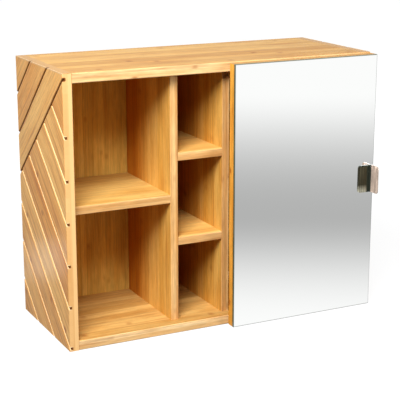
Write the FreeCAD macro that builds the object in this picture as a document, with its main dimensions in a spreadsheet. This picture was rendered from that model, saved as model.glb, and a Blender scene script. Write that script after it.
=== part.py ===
"""Wall-hung bathroom cabinet of bamboo board with open niches and one mirror door.

Frame: +X to the right, the front faces -Y, +Z up. The origin is the middle of the
underside of the bottom panel. All sizes are millimetres.
"""
import FreeCAD
import Part
import Sketcher
import os
import re

# Driving dimensions: name, size, meaning
SIZES = [
    ("width", 560, "overall width of the carcass"),
    ("height", 450, "overall height of the carcass"),
    ("depth", 225, "depth of the carcass, wall to front edges"),
    ("board", 16, "thickness of sides, top and bottom"),
    ("inner_board", 14, "thickness of dividers and shelves"),
    ("setback", 20, "inner boards stand this far behind the front edges"),
    ("arris", 1.5, "rounding of the front arrises"),
    ("left_bay", 173, "clear width of the left column of niches"),
    ("middle_bay", 81, "clear width of the middle column of niches"),
    ("left_shelf_rise", 204, "clear height under the left shelf"),
    ("cabinet_shelf_rise", 201, "clear height under the shelf behind the door"),
    ("shelf_play", 1, "gap at each end of the loose shelf"),
    ("back_board", 5, "thickness of the back board"),
    ("back_space", 18, "room between back board and wall"),
    ("back_gap", 1.5, "dividers and shelves stop this far before the back board"),
    ("slot_depth", 6, "depth of the slots that hold the back board"),
    ("slot_play", 0.2, "extra width of those slots"),
    ("slot_end_play", 0.5, "gap between the back board's rim and the slot's floor"),
    ("groove_pitch", 52.5, "spacing of the decorative V grooves, square to them"),
    ("groove_angle", 40.5, "slope of the V grooves, in degrees"),
    ("groove_width", 5, "mouth of a V groove"),
    ("groove_depth", 4, "depth of a V groove"),
    ("groove_drop", 9, "top end of the long cap groove, below the top"),
    ("groove_first", 70, "along the cap groove, from the front edge to the first long groove"),
    ("long_grooves", 8, "number of grooves that fall towards the front"),
    ("cap_grooves", 3, "number of grooves that fall towards the back"),
    ("dowel_diameter", 8, "corner dowels"),
    ("dowel_length", 30, "length of a corner dowel"),
    ("dowel_bite", 10, "part of a corner dowel inside the side panel"),
    ("small_dowel_diameter", 6, "dowels of dividers and shelves"),
    ("small_dowel_length", 22, "length of a small dowel"),
    ("small_dowel_bite", 5.5, "part of a small dowel inside the board it meets"),
    ("dowel_play", 0.05, "radial play of a dowel in its hole"),
    ("dowel_end_play", 0.5, "a dowel hole is this much deeper at each end"),
    ("dowel_inset", 40, "outer dowels stand this far from a board's edge"),
    ("door_inset", 1, "door edge from the left face of the right divider"),
    ("door_margin", 1.5, "reveal of the door at the top, bottom and right"),
    ("door_gap", 3, "gap between the carcass and the door's back"),
    ("door_core", 15, "thickness of the door's wooden core"),
    ("door_arris", 2.5, "rounding of the door's back arrises"),
    ("tape", 1, "thickness of the mirror tape"),
    ("tape_width", 25, "width of a strip of mirror tape"),
    ("tape_inset", 30, "tape strips stop short of the glass edge"),
    ("glass", 4, "thickness of the mirror glass"),
    ("glass_arris", 0.6, "ground arris of the mirror glass"),
    ("handle_height", 48, "height of the handle"),
    ("handle_flange", 26, "width of the handle's flange on the glass"),
    ("handle_tab", 22, "reach of the handle's tab in front of the glass"),
    ("handle_plate", 2, "sheet thickness of the handle"),
    ("handle_bend", 1.5, "inside radius of the handle's bend"),
    ("handle_corner", 5, "rounding of the handle's free corners"),
    ("handle_edge", 5, "tab from the door's right edge"),
    ("handle_rise", 233, "middle of the handle above the underside"),
    ("stud_diameter", 6.5, "threaded studs behind the handle"),
    ("stud_length", 4.5, "length of a stud"),
    ("stud_pitch", 30, "distance between the studs"),
    ("stud_play", 0.3, "radial play of a stud in the glass"),
    ("hinge_inset", 78, "hinge middle from the door's end"),
    ("cup_diameter", 26, "hinge cup"),
    ("cup_depth", 12.8, "depth of the hinge cup below its flange"),
    ("cup_wall", 0.8, "sheet thickness of the hinge cup"),
    ("cup_edge", 3.5, "wood between the cup and the door's edge"),
    ("cup_play", 0.1, "radial play and spare depth of the cup's bore"),
    ("rim", 1, "the cup's rim overlaps its bore by this"),
    ("ear", 1, "thickness of the cup's rim and ears"),
    ("ear_span", 46, "height of the cup's pair of ears"),
    ("ear_width", 12, "width of an ear"),
    ("ear_pitch", 36, "distance between the ear screws"),
    ("pivot_edge", 9, "hinge pivot from the door's edge"),
    ("pivot_depth", 9.2, "hinge pivot inside the door's back face"),
    ("pin_diameter", 3, "hinge pin"),
    ("pin_length", 20, "length of the hinge pin"),
    ("pin_bevel", 0.8, "bevel of the hinge pin's ends"),
    ("pin_play", 0.05, "radial play of the pin"),
    ("eye_diameter", 4.8, "rolled eye of the hinge arm"),
    ("strap", 2.2, "strap thickness of the hinge arm"),
    ("arm_width", 12, "width of the hinge arm"),
    ("arm_shift", 6.2, "step of the arm from the plate to the leg that leaves the cup"),
    ("arm_jog", 14, "pivot to the leg that turns to the divider"),
    ("arm_bend", 1.5, "inner radius of the arm's bends"),
    ("arm_tail", 44, "arm along the divider, behind its front edge"),
    ("plate", 3, "thickness of the hinge's mounting plate"),
    ("plate_inset", 5, "plate behind the divider's front edge"),
    ("plate_length", 36, "length of the plate"),
    ("plate_span", 42, "height of the plate across its wings"),
    ("wing_width", 12, "width of the plate's wings"),
    ("wing_pitch", 32, "distance between the plate's screws"),
    ("screw_diameter", 3.2, "wood and machine screws"),
    ("screw_head", 6, "diameter of a screw's pan head"),
    ("screw_head_height", 1.6, "height of a pan head"),
    ("recess", 3.6, "span of the cross recess in a pan head"),
    ("recess_slot", 0.8, "width of the cross recess"),
    ("recess_depth", 1.2, "depth of the cross recess"),
    ("screw_bite", 9, "length of a wood screw inside the wood"),
    ("screw_play", 0.05, "radial play of a screw in its own hole"),
    ("screw_clearance", 0.4, "radial play of a screw in a hole it passes through"),
    ("pin_shelf_diameter", 5, "shelf pins"),
    ("pin_shelf_bite", 8, "shelf pin inside the board"),
    ("pin_shelf_reach", 9, "shelf pin under the shelf"),
    ("pin_shelf_gap", 0.1, "shelf above its pins"),
    ("collar_diameter", 8, "collar of a shelf pin"),
    ("collar", 0.7, "thickness of that collar"),
    ("pin_shelf_inset", 32, "shelf pins from the shelf's front and back edges"),
    ("catch_rise", 330, "middle of the magnetic catch above the underside"),
    ("catch_length", 46, "height of the catch body"),
    ("catch_depth", 28, "depth of the catch body"),
    ("catch_width", 14, "width of the catch body"),
    ("catch_setback", 1, "catch body behind the front edges"),
    ("catch_screw_pitch", 36, "distance between the catch's screws"),
    ("magnet_width", 5, "width of the catch's magnet"),
    ("magnet_length", 20, "height of magnet and poles"),
    ("magnet_depth", 18, "depth of the magnet"),
    ("pole", 1.2, "thickness of a pole plate"),
    ("pole_play", 0.2, "play of magnet and poles in the catch body"),
    ("pole_gap", 0.2, "gap between poles and strike plate"),
    ("strike", 1, "thickness of the strike plate"),
    ("strike_length", 48, "height of the strike plate"),
    ("strike_width", 14, "width of the strike plate"),
    ("strike_screw_pitch", 38, "distance between the strike's screws"),
    ("bumper_diameter", 8, "door bumpers"),
    ("bumper_gap", 0.3, "bumper to front edge when the door is shut"),
    ("bumper_inset", 30, "bumper from the door's top or bottom"),
    ("rail_height", 62, "height of the hanging rail"),
    ("hanger", 2, "thickness of a hanger plate"),
    ("hanger_width", 24, "width of a hanger plate"),
    ("hanger_height", 54, "height of a hanger plate"),
    ("hanger_play", 0.2, "play of a hanger plate in its recess"),
    ("hanger_sink", 2.4, "hanger plate below the rail's rear face"),
    ("hanger_inset", 64, "middle of a hanger from the rail's end"),
    ("keyhole_diameter", 9.2, "entry of the keyhole"),
    ("keyhole_slot", 4.6, "slot of the keyhole"),
    ("keyhole_drop", 14, "entry below the slot's end"),
    ("keyhole_room", 12, "depth of the screw-head room behind the keyhole"),
    ("hanger_screw_pitch", 44, "distance between a hanger's screws"),
]
ALIASES = {name for name, _, _ in SIZES}

doc = FreeCAD.newDocument("MirrorCabinet")
sheet = doc.addObject("Spreadsheet::Sheet", "Sizes")
for row, (alias, size, meaning) in enumerate(SIZES, start=1):
    sheet.set(f"A{row}", meaning)
    sheet.set(f"B{row}", str(size))
    sheet.setAlias(f"B{row}", alias)
doc.recompute()

# Places that several pieces share, as formulas of the driving dimensions
FRONT = "(-depth / 2)"
WALL = "(depth / 2)"
INNER_LEFT = "(board - width / 2)"
INNER_RIGHT = "(width / 2 - board)"
INNER_WIDTH = "(width - 2 * board)"
INNER_HEIGHT = "(height - 2 * board)"
BACK_FACE = "(depth / 2 - back_space - back_board)"
INNER_FRONT = f"({FRONT} + setback)"
INNER_DEPTH = "(depth - setback - back_space - back_board - back_gap)"
LEFT_DIVIDER = f"({INNER_LEFT} + left_bay)"
MIDDLE_BAY = f"({LEFT_DIVIDER} + inner_board)"
RIGHT_DIVIDER = f"({MIDDLE_BAY} + middle_bay)"
RIGHT_BAY = f"({RIGHT_DIVIDER} + inner_board)"
RIGHT_BAY_WIDTH = f"({INNER_RIGHT} - {RIGHT_BAY})"
THIRD = "((height - 2 * board - 2 * inner_board) / 3)"
LEFT_SHELF = "(board + left_shelf_rise)"
MIDDLE_SHELVES = {"lower": f"(board + {THIRD})", "upper": f"(board + 2 * {THIRD} + inner_board)"}
CABINET_SHELF = "(board + cabinet_shelf_rise)"
DOOR_LEFT = f"({RIGHT_DIVIDER} + door_inset)"
DOOR_WIDTH = f"(width / 2 - door_margin - {DOOR_LEFT})"
DOOR_HEIGHT = "(height - 2 * door_margin)"
CORE_BACK = f"({FRONT} - door_gap)"
CORE_FRONT = f"({CORE_BACK} - door_core)"
GLASS_BACK = f"({CORE_FRONT} - tape)"
GLASS_FRONT = f"({GLASS_BACK} - glass)"
PIVOT_X = f"({DOOR_LEFT} + pivot_edge)"
PIVOT_Y = f"({CORE_BACK} - pivot_depth)"
CUP_OFFSET = "(cup_edge + cup_diameter / 2 - pivot_edge)"
HINGES = {"lower": "(door_margin + hinge_inset)", "upper": "(height - door_margin - hinge_inset)"}
HANDLE_RIGHT = "(width / 2 - door_margin - handle_edge)"
STUD_X = f"({HANDLE_RIGHT} - (handle_flange + handle_plate) / 2)"
STUDS = ["(handle_rise - stud_pitch / 2)", "(handle_rise + stud_pitch / 2)"]
CATCH_X = f"({INNER_RIGHT} - catch_width / 2)"
RAIL_BOTTOM = "(height - board - rail_height)"
HANGER_Z = f"({RAIL_BOTTOM} + rail_height / 2)"
HANGERS = {"left": f"({INNER_LEFT} + hanger_inset)", "right": f"({INNER_RIGHT} - hanger_inset)"}
HANGER_REAR = f"({WALL} - hanger_sink)"
SCREW_HOLE = "(screw_diameter + 2 * screw_play)"
SCREW_PASS = "(screw_diameter + 2 * screw_clearance)"
PILOT_DEPTH = "(screw_bite + dowel_end_play)"
TINY = 1e-4

nodes = []
pockets = []


def formula(text):
    """A formula of size names, as an expression that reads the sheet."""
    return re.sub(r"[a-z_]+", lambda word: "Sizes." + word[0] if word[0] in ALIASES else word[0], text)


def number(text):
    """Today's value of a formula, used as a sketch's starting position."""
    return float(sheet.evalExpression(formula(text)))


def bind(thing, prop, text):
    thing.setExpression(prop, formula(text))


def place(thing, x, y, z):
    for axis, text in zip("xyz", (x, y, z)):
        bind(thing, f"Placement.Base.{axis}", text)


def node(thing, label):
    thing.Label = label
    nodes.append(thing)
    return thing


def new_body(label, x, y, z):
    """An empty body whose local axes run along the cabinet's."""
    body = doc.addObject("PartDesign::Body", label)
    place(body, x, y, z)
    return node(body, label)


def new_sketch(body, role, lift="0"):
    """A sketch on one of the body's origin planes, lifted along the plane's normal.

    XY_Plane looks along +Z, YZ_Plane along +X and XZ_Plane along -Y.
    """
    sketch = body.newObject("Sketcher::SketchObject", f"{body.Name}_sketch")
    plane = next(f for f in body.Origin.OriginFeatures if f.Role == role)
    sketch.AttachmentSupport = [(plane, "")]
    sketch.MapMode = "FlatFace"
    bind(sketch, "AttachmentOffset.Base.z", lift)
    return sketch


def fix(sketch, curve, point, x, y):
    """Hold one point of a curve at (x, y) from the sketch's origin."""
    for kind, text in (("DistanceX", x), ("DistanceY", y)):
        index = sketch.addConstraint(Sketcher.Constraint(kind, -1, 1, curve, point, number(text)))
        bind(sketch, f"Constraints[{index}]", text)


def outline(sketch, corners):
    """A closed run of straight lines through corners given as formulas."""
    spots = [FreeCAD.Vector(number(x), number(y), 0) for x, y in corners]
    count = len(corners)
    first = sketch.GeometryCount
    sketch.addGeometry([Part.LineSegment(spots[i], spots[(i + 1) % count]) for i in range(count)])
    for i, (x, y) in enumerate(corners):
        sketch.addConstraint(Sketcher.Constraint("Coincident", first + i, 2, first + (i + 1) % count, 1))
        fix(sketch, first + i, 1, x, y)


def rectangle(sketch, x, y, wide, high):
    far_x, far_y = f"({x} + {wide})", f"({y} + {high})"
    outline(sketch, [(x, y), (far_x, y), (far_x, far_y), (x, far_y)])


def circle(sketch, x, y, diameter):
    spot = FreeCAD.Vector(number(x), number(y), 0)
    curve = sketch.addGeometry(Part.Circle(spot, FreeCAD.Vector(0, 0, 1), number(diameter) / 2))
    fix(sketch, curve, 3, x, y)
    index = sketch.addConstraint(Sketcher.Constraint("Diameter", curve, number(diameter)))
    bind(sketch, f"Constraints[{index}]", diameter)


def pad(body, sketch, length, against_normal=False):
    feature = body.newObject("PartDesign::Pad", f"{body.Name}_pad")
    feature.Profile = sketch
    feature.Reversed = against_normal
    bind(feature, "Length", length)
    return feature


def cut(body, sketch, length=None, along_normal=False):
    """A pocket of the given depth, or right through the body."""
    feature = body.newObject("PartDesign::Pocket", f"{body.Name}_pocket")
    feature.Profile = sketch
    feature.Reversed = along_normal
    if length is None:
        feature.Type = "ThroughAll"
    else:
        bind(feature, "Length", length)
    pockets.append(feature)
    return feature


def turn(body, sketch):
    """A round solid from a half profile about the sketch's upright axis."""
    feature = body.newObject("PartDesign::Revolution", f"{body.Name}_turned")
    feature.Profile = sketch
    feature.ReferenceAxis = (sketch, ["V_Axis"])
    feature.Angle = 360
    return feature


def drill(body, role, lift, spots, diameter, length, along_normal=False):
    """Round holes of one size and depth in one face."""
    sketch = new_sketch(body, role, lift)
    for x, y in spots:
        circle(sketch, x, y, diameter)
    return cut(body, sketch, length, along_normal)


def ease(body, feature, radius, wanted, kind="PartDesign::Fillet", size="Radius"):
    """Round or bevel the edges of a feature whose two ends satisfy a test."""
    doc.recompute()
    names = []
    for index, edge in enumerate(feature.Shape.Edges, start=1):
        ends = [vertex.Point for vertex in edge.Vertexes]
        if len(ends) == 2 and wanted(*ends):
            names.append(f"Edge{index}")
    eased = body.newObject(kind, f"{body.Name}_arris")
    eased.Base = (feature, names)
    bind(eased, size, radius)
    return eased


def along(axis, **held):
    """A test for edges along an axis, at given values of the other coordinates."""
    def wanted(start, end):
        if abs(getattr(start, axis) - getattr(end, axis)) < TINY:
            return False
        return all(abs(getattr(p, k) - v) < TINY for k, v in held.items() for p in (start, end))
    return wanted


def box(name, x, y, z, wide, deep, high):
    thing = doc.addObject("Part::Box", name)
    for prop, text in (("Length", wide), ("Width", deep), ("Height", high)):
        bind(thing, prop, text)
    place(thing, x, y, z)
    return thing


def rod(name, x, y, z, diameter, length, axis="z"):
    """A round rod that starts at (x, y, z) and runs along +X, +Y or +Z."""
    turns = {"x": ((0, 1, 0), 90), "y": ((1, 0, 0), -90), "z": ((0, 0, 1), 0)}
    thing = doc.addObject("Part::Cylinder", name)
    bind(thing, "Radius", f"{diameter} / 2")
    bind(thing, "Height", length)
    direction, angle = turns[axis]
    thing.Placement.Rotation = FreeCAD.Rotation(FreeCAD.Vector(*direction), angle)
    place(thing, x, y, z)
    return thing


def group(label, pieces):
    """Identical loose pieces as one node of separate solids."""
    thing = doc.addObject("Part::Compound", label)
    thing.Links = pieces
    return node(thing, label)


def screws(label, spots, facing, length):
    """Pan-head screws that seat at the given spots, with the head facing a given way."""
    turns = {"-x": ((0, 1, 0), -90), "+x": ((0, 1, 0), 90), "+y": ((1, 0, 0), -90)}
    direction, angle = turns[facing]
    made = []
    for x, y, z in spots:
        head = doc.addObject("Part::Cone", f"{label}_head")
        bind(head, "Radius1", "screw_head / 2")
        bind(head, "Radius2", "screw_head * 0.35")
        bind(head, "Height", "screw_head_height")
        shank = rod(f"{label}_shank", "0", "0", f"-{length}", "screw_diameter", length)
        whole = doc.addObject("Part::Fuse", f"{label}_blank")
        whole.Base = head
        whole.Tool = shank
        floor = "(screw_head_height - recess_depth)"
        slots = []
        for wide, deep in (("recess", "recess_slot"), ("recess_slot", "recess")):
            corner = (f"-{wide} / 2", f"-{deep} / 2", floor)
            slots.append(box(f"{label}_slot", *corner, wide, deep, "screw_head_height"))
        cross = doc.addObject("Part::Fuse", f"{label}_cross")
        cross.Base, cross.Tool = slots
        screw = doc.addObject("Part::Cut", f"{label}_screw")
        screw.Base = whole
        screw.Tool = cross
        screw.Placement.Rotation = FreeCAD.Rotation(FreeCAD.Vector(*direction), angle)
        place(screw, x, y, z)
        made.append(screw)
    return group(label, made)


# Where the dowels of a board stand across its depth, from the board's front edge
CORNER_DOWELS = ["dowel_inset", "(depth / 2)", "(depth - back_space - dowel_inset)"]
SHELF_DOWELS = ["dowel_inset", f"({INNER_DEPTH} - dowel_inset)"]
CORNER_HOLE = "(dowel_diameter + 2 * dowel_play)"
SMALL_HOLE = "(small_dowel_diameter + 2 * dowel_play)"
BITE = "(dowel_bite + dowel_end_play)"
REST = "(dowel_length - dowel_bite + dowel_end_play)"
SMALL_BITE = "(small_dowel_bite + dowel_end_play)"
SMALL_REST = "(small_dowel_length - small_dowel_bite + dowel_end_play)"
SLOT_WIDTH = "(back_board + slot_play)"
SLOT_FROM_FRONT = "(depth - back_space - back_board)"
DIVIDERS = [LEFT_DIVIDER, RIGHT_DIVIDER]


def chevrons(body, outer, inward):
    """Sloping V grooves over the outer face of a side panel.

    The cap grooves fall from the front towards the back and repeat square to their
    run. The long grooves fall towards the front: each starts on the lowest cap groove,
    so they repeat along that groove.
    """
    lip = "groove_width"
    mouth = f"(groove_width / 2 * (1 + {lip} / groove_depth))"
    tip = f"({outer} + {inward} * groove_depth)"
    outside = f"({outer} - {inward} * {lip})"
    cap_start = "(height - groove_drop)"
    level, fall = "(groove_first * cos(groove_angle))", "(groove_first * sin(groove_angle))"
    along_cap = "(groove_pitch / sin(2 * groove_angle))"
    sets = [
        ("(180 - groove_angle)", f"({cap_start} + {lip} * tan(groove_angle))", lip, "cap_grooves", "groove_pitch"),
        ("groove_angle", f"({cap_start} - {fall})", f"(-{level})", "long_grooves", along_cap),
    ]
    cap = None
    for slope, up, forward, count, step in sets:
        sketch = new_sketch(body, "XZ_Plane", forward)
        sketch.AttachmentOffset.Rotation = FreeCAD.Rotation(FreeCAD.Vector(1, 0, 0), number(slope))
        bind(sketch, "AttachmentOffset.Rotation.Angle", slope)
        bind(sketch, "AttachmentOffset.Base.y", up)
        outline(sketch, [(outside, f"-{mouth}"), (tip, "0"), (outside, mouth)])
        first = cut(body, sketch, None, along_normal=True)
        rows = body.newObject("PartDesign::LinearPattern", f"{body.Name}_rows")
        rows.Originals = [first]
        rows.Direction = (cap, ["N_Axis"]) if cap else (sketch, ["V_Axis"])
        rows.Reversed = cap is None
        bind(rows, "Occurrences", count)
        bind(rows, "Length", f"{step} * ({count} - 1)")
        body.Tip = rows
        cap = cap or sketch


def side_panel(label, x, outer, inner, inward, shelf_holes):
    """A full-height side with chevron grooves outside and joinery inside."""
    body = new_body(label, x, FRONT, "0")
    blank = new_sketch(body, "YZ_Plane")
    rectangle(blank, "0", "0", "depth", "height")
    board = pad(body, blank, "board")
    ease(body, board, "arris", along("z", y=0))
    chevrons(body, outer, inward)
    into_wood = inward == "-1"
    slot = new_sketch(body, "YZ_Plane", inner)
    rectangle(slot, SLOT_FROM_FRONT, "(board - slot_depth)", SLOT_WIDTH, f"({INNER_HEIGHT} + 2 * slot_depth)")
    cut(body, slot, "slot_depth", into_wood)
    corners = [(y, z) for y in CORNER_DOWELS for z in ("board / 2", "(height - board / 2)")]
    drill(body, "YZ_Plane", inner, corners, CORNER_HOLE, BITE, into_wood)
    for spots, diameter, bite in shelf_holes:
        drill(body, "YZ_Plane", inner, spots, diameter, bite, into_wood)
    return body


def deck_panel(label, z, inner, into_wood):
    """The top or bottom panel: slot, dowel ends and divider dowels."""
    body = new_body(label, INNER_LEFT, FRONT, z)
    blank = new_sketch(body, "XY_Plane")
    rectangle(blank, "0", "0", INNER_WIDTH, "depth")
    board = pad(body, blank, "board")
    ease(body, board, "arris", along("x", y=0))
    slot = new_sketch(body, "XY_Plane", inner)
    rectangle(slot, "0", SLOT_FROM_FRONT, INNER_WIDTH, SLOT_WIDTH)
    cut(body, slot, "slot_depth", into_wood)
    ends = [(y, "board / 2") for y in CORNER_DOWELS]
    drill(body, "YZ_Plane", "0", ends, CORNER_HOLE, REST, along_normal=True)
    drill(body, "YZ_Plane", INNER_WIDTH, ends, CORNER_HOLE, REST)
    middles = [f"({x} - {INNER_LEFT} + inner_board / 2)" for x in DIVIDERS]
    tops = [(x, f"(setback + {y})") for x in middles for y in SHELF_DOWELS]
    drill(body, "XY_Plane", inner, tops, SMALL_HOLE, SMALL_BITE, into_wood)
    return body


def divider(label, x, left_holes, right_holes):
    """An upright inner board, with holes in its left and right faces."""
    body = new_body(label, x, INNER_FRONT, "board")
    blank = new_sketch(body, "YZ_Plane")
    rectangle(blank, "0", "0", INNER_DEPTH, INNER_HEIGHT)
    board = pad(body, blank, "inner_board")
    ease(body, board, "arris", along("z", y=0))
    ends = [("inner_board / 2", y) for y in SHELF_DOWELS]
    drill(body, "XY_Plane", "0", ends, SMALL_HOLE, SMALL_REST, along_normal=True)
    drill(body, "XY_Plane", INNER_HEIGHT, ends, SMALL_HOLE, SMALL_REST)
    for spots, diameter, bite in left_holes:
        drill(body, "YZ_Plane", "0", spots, diameter, bite, along_normal=True)
    for spots, diameter, bite in right_holes:
        drill(body, "YZ_Plane", "inner_board", spots, diameter, bite)
    return body


def shelf(label, x, z, length, dowelled=True):
    """A level inner board, dowelled at both ends unless it lies on pins."""
    body = new_body(label, x, INNER_FRONT, z)
    blank = new_sketch(body, "XY_Plane")
    rectangle(blank, "0", "0", length, INNER_DEPTH)
    board = pad(body, blank, "inner_board")
    ease(body, board, "arris", along("x", y=0))
    if dowelled:
        ends = [(y, "inner_board / 2") for y in SHELF_DOWELS]
        drill(body, "YZ_Plane", "0", ends, SMALL_HOLE, SMALL_REST, along_normal=True)
        drill(body, "YZ_Plane", length, ends, SMALL_HOLE, SMALL_REST)
    return body


def level_holes(z, base):
    """Dowel holes for a shelf at height z, seen from a board that starts at base."""
    return [(y, f"({z} + inner_board / 2 - {base})") for y in SHELF_DOWELS]


# Carcass
PIN_Z = f"({CABINET_SHELF} - pin_shelf_gap - pin_shelf_diameter / 2)"
PIN_DEPTHS = ["pin_shelf_inset", f"({INNER_DEPTH} - pin_shelf_inset)"]
PIN_HOLE = "(pin_shelf_diameter + 2 * dowel_play)"
CATCH_SCREWS = ["(catch_rise - catch_screw_pitch / 2)", "(catch_rise + catch_screw_pitch / 2)"]
CATCH_MIDDLE = "(catch_setback + catch_depth / 2)"
side_panel(
    "left_side_panel", "(-width / 2)", "0", "board", "1",
    [([(f"(setback + {y})", z) for y, z in level_holes(LEFT_SHELF, "0")], SMALL_HOLE, SMALL_BITE)],
)
side_panel(
    "right_side_panel", INNER_RIGHT, "board", "0", "-1",
    [
        ([(f"(setback + {y})", PIN_Z) for y in PIN_DEPTHS], PIN_HOLE, "(pin_shelf_bite + dowel_end_play)"),
        ([(CATCH_MIDDLE, z) for z in CATCH_SCREWS], SCREW_HOLE, PILOT_DEPTH),
    ],
)
deck_panel("top_panel", "(height - board)", "0", True)
deck_panel("bottom_panel", "0", "board", False)
SLOT_BITE = "(slot_depth - slot_end_play)"
back = box(
    "back_panel", f"({INNER_LEFT} - {SLOT_BITE})", BACK_FACE, f"(board - {SLOT_BITE})",
    f"({INNER_WIDTH} + 2 * {SLOT_BITE})", "back_board", f"({INNER_HEIGHT} + 2 * {SLOT_BITE})",
)
node(back, "back_panel")

middle_holes = [spot for z in MIDDLE_SHELVES.values() for spot in level_holes(z, "board")]
PLATE_MIDDLE = "(plate_inset + plate_length / 2)"
wing_holes = [
    (PLATE_MIDDLE, f"({z} - board {sign} wing_pitch / 2)") for z in HINGES.values() for sign in "+-"
]
divider(
    "left_divider", LEFT_DIVIDER,
    [(level_holes(LEFT_SHELF, "board"), SMALL_HOLE, SMALL_BITE)],
    [(middle_holes, SMALL_HOLE, SMALL_BITE)],
)
divider(
    "right_divider", RIGHT_DIVIDER,
    [(middle_holes, SMALL_HOLE, SMALL_BITE)],
    [
        (wing_holes, SCREW_HOLE, PILOT_DEPTH),
        ([(y, f"({PIN_Z} - board)") for y in PIN_DEPTHS], PIN_HOLE, "(pin_shelf_bite + dowel_end_play)"),
    ],
)
shelf("left_shelf", INNER_LEFT, LEFT_SHELF, "left_bay")
for level, z in MIDDLE_SHELVES.items():
    shelf(f"middle_shelf_{level}", MIDDLE_BAY, z, "middle_bay")
shelf(
    "cabinet_shelf", f"({RIGHT_BAY} + shelf_play)", CABINET_SHELF,
    f"({RIGHT_BAY_WIDTH} - 2 * shelf_play)", dowelled=False,
)

# Dowels and shelf pins
corner_dowels = []
for start in (f"({INNER_LEFT} - dowel_bite)", f"({INNER_RIGHT} - (dowel_length - dowel_bite))"):
    for z in ("(board / 2)", "(height - board / 2)"):
        for y in CORNER_DOWELS:
            spot = (start, f"({FRONT} + {y})", z)
            corner_dowels.append(rod("corner_dowel", *spot, "dowel_diameter", "dowel_length", "x"))
group("corner_dowels", corner_dowels)

divider_dowels = []
for x in DIVIDERS:
    for z in ("(board - small_dowel_bite)", "(height - board + small_dowel_bite - small_dowel_length)"):
        for y in SHELF_DOWELS:
            spot = (f"({x} + inner_board / 2)", f"({INNER_FRONT} + {y})", z)
            divider_dowels.append(rod("divider_dowel", *spot, "small_dowel_diameter", "small_dowel_length"))
group("divider_dowels", divider_dowels)

shelf_dowels = []
shelf_spans = [(INNER_LEFT, LEFT_DIVIDER, LEFT_SHELF)]
shelf_spans += [(MIDDLE_BAY, RIGHT_DIVIDER, z) for z in MIDDLE_SHELVES.values()]
for left, right, z in shelf_spans:
    for start in (f"({left} - small_dowel_bite)", f"({right} + small_dowel_bite - small_dowel_length)"):
        for y in SHELF_DOWELS:
            spot = (start, f"({INNER_FRONT} + {y})", f"({z} + inner_board / 2)")
            shelf_dowels.append(rod("shelf_dowel", *spot, "small_dowel_diameter", "small_dowel_length", "x"))
group("shelf_dowels", shelf_dowels)

shelf_pins = []
PIN_LENGTH = "(pin_shelf_bite + pin_shelf_reach)"
pin_ends = [
    (f"({RIGHT_BAY} - pin_shelf_bite)", RIGHT_BAY),
    (f"({INNER_RIGHT} - pin_shelf_reach)", f"({INNER_RIGHT} - collar)"),
]
for start, collar_start in pin_ends:
    for y in PIN_DEPTHS:
        across = (f"({INNER_FRONT} + {y})", PIN_Z)
        stem = rod("shelf_pin_stem", start, *across, "pin_shelf_diameter", PIN_LENGTH, "x")
        collar = rod("shelf_pin_collar", collar_start, *across, "collar_diameter", "collar", "x")
        shelf_pin = doc.addObject("Part::Fuse", "shelf_pin")
        shelf_pin.Base = stem
        shelf_pin.Tool = collar
        shelf_pins.append(shelf_pin)
group("shelf_pins", shelf_pins)

# Hanging rail and keyhole plates, behind the back board
rail = new_body("hanging_rail", INNER_LEFT, f"({WALL} - back_space)", RAIL_BOTTOM)
blank = new_sketch(rail, "XY_Plane")
rectangle(blank, "0", "0", INNER_WIDTH, "back_space")
pad(rail, blank, "rail_height")
REAR_LIFT = "(-back_space)"
HANGER_SCREWS = ["(-hanger_screw_pitch / 2)", "(hanger_screw_pitch / 2)"]
KEYHOLE_ENTRY = "(-keyhole_drop / 2)"
KEYHOLE_END = "(keyhole_drop / 2)"
recess = new_sketch(rail, "XZ_Plane", REAR_LIFT)
room = new_sketch(rail, "XZ_Plane", REAR_LIFT)
pilots = []
for x in HANGERS.values():
    from_end = f"({x} - {INNER_LEFT})"
    wide, high = "(hanger_width + 2 * hanger_play)", "(hanger_height + 2 * hanger_play)"
    rectangle(recess, f"({from_end} - {wide} / 2)", f"(rail_height / 2 - {high} / 2)", wide, high)
    wide, high = "(keyhole_diameter + 4)", "(keyhole_drop + 2 * keyhole_diameter)"
    rectangle(room, f"({from_end} - {wide} / 2)", f"(rail_height / 2 - {high} / 2)", wide, high)
    pilots += [(from_end, f"(rail_height / 2 + {z})") for z in HANGER_SCREWS]
cut(rail, recess, "(hanger_sink + hanger)", along_normal=True)
cut(rail, room, "keyhole_room", along_normal=True)
HANGER_SEAT = "(hanger_sink + hanger)"
drill(rail, "XZ_Plane", f"({HANGER_SEAT} - back_space)", pilots, SCREW_HOLE, PILOT_DEPTH, True)

hanger_spots = []
for hand, x in HANGERS.items():
    hanger = new_body(f"{hand}_hanger_plate", x, HANGER_REAR, HANGER_Z)
    blank = new_sketch(hanger, "XZ_Plane")
    rectangle(blank, "(-hanger_width / 2)", "(-hanger_height / 2)", "hanger_width", "hanger_height")
    sheet_metal = pad(hanger, blank, "hanger")
    ease(hanger, sheet_metal, "(hanger_width / 6)", along("y"))
    drill(hanger, "XZ_Plane", "0", [("0", z) for z in HANGER_SCREWS], SCREW_PASS, None, True)
    drill(hanger, "XZ_Plane", "0", [("0", KEYHOLE_ENTRY)], "keyhole_diameter", None, True)
    slot = new_sketch(hanger, "XZ_Plane")
    rectangle(slot, "(-keyhole_slot / 2)", KEYHOLE_ENTRY, "keyhole_slot", "keyhole_drop")
    cut(hanger, slot, None, True)
    drill(hanger, "XZ_Plane", "0", [("0", KEYHOLE_END)], "keyhole_slot", None, True)
    hanger_spots += [(x, HANGER_REAR, f"({HANGER_Z} + {z})") for z in HANGER_SCREWS]
screws("hanger_screws", hanger_spots, "+y", "(hanger + screw_bite)")

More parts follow.
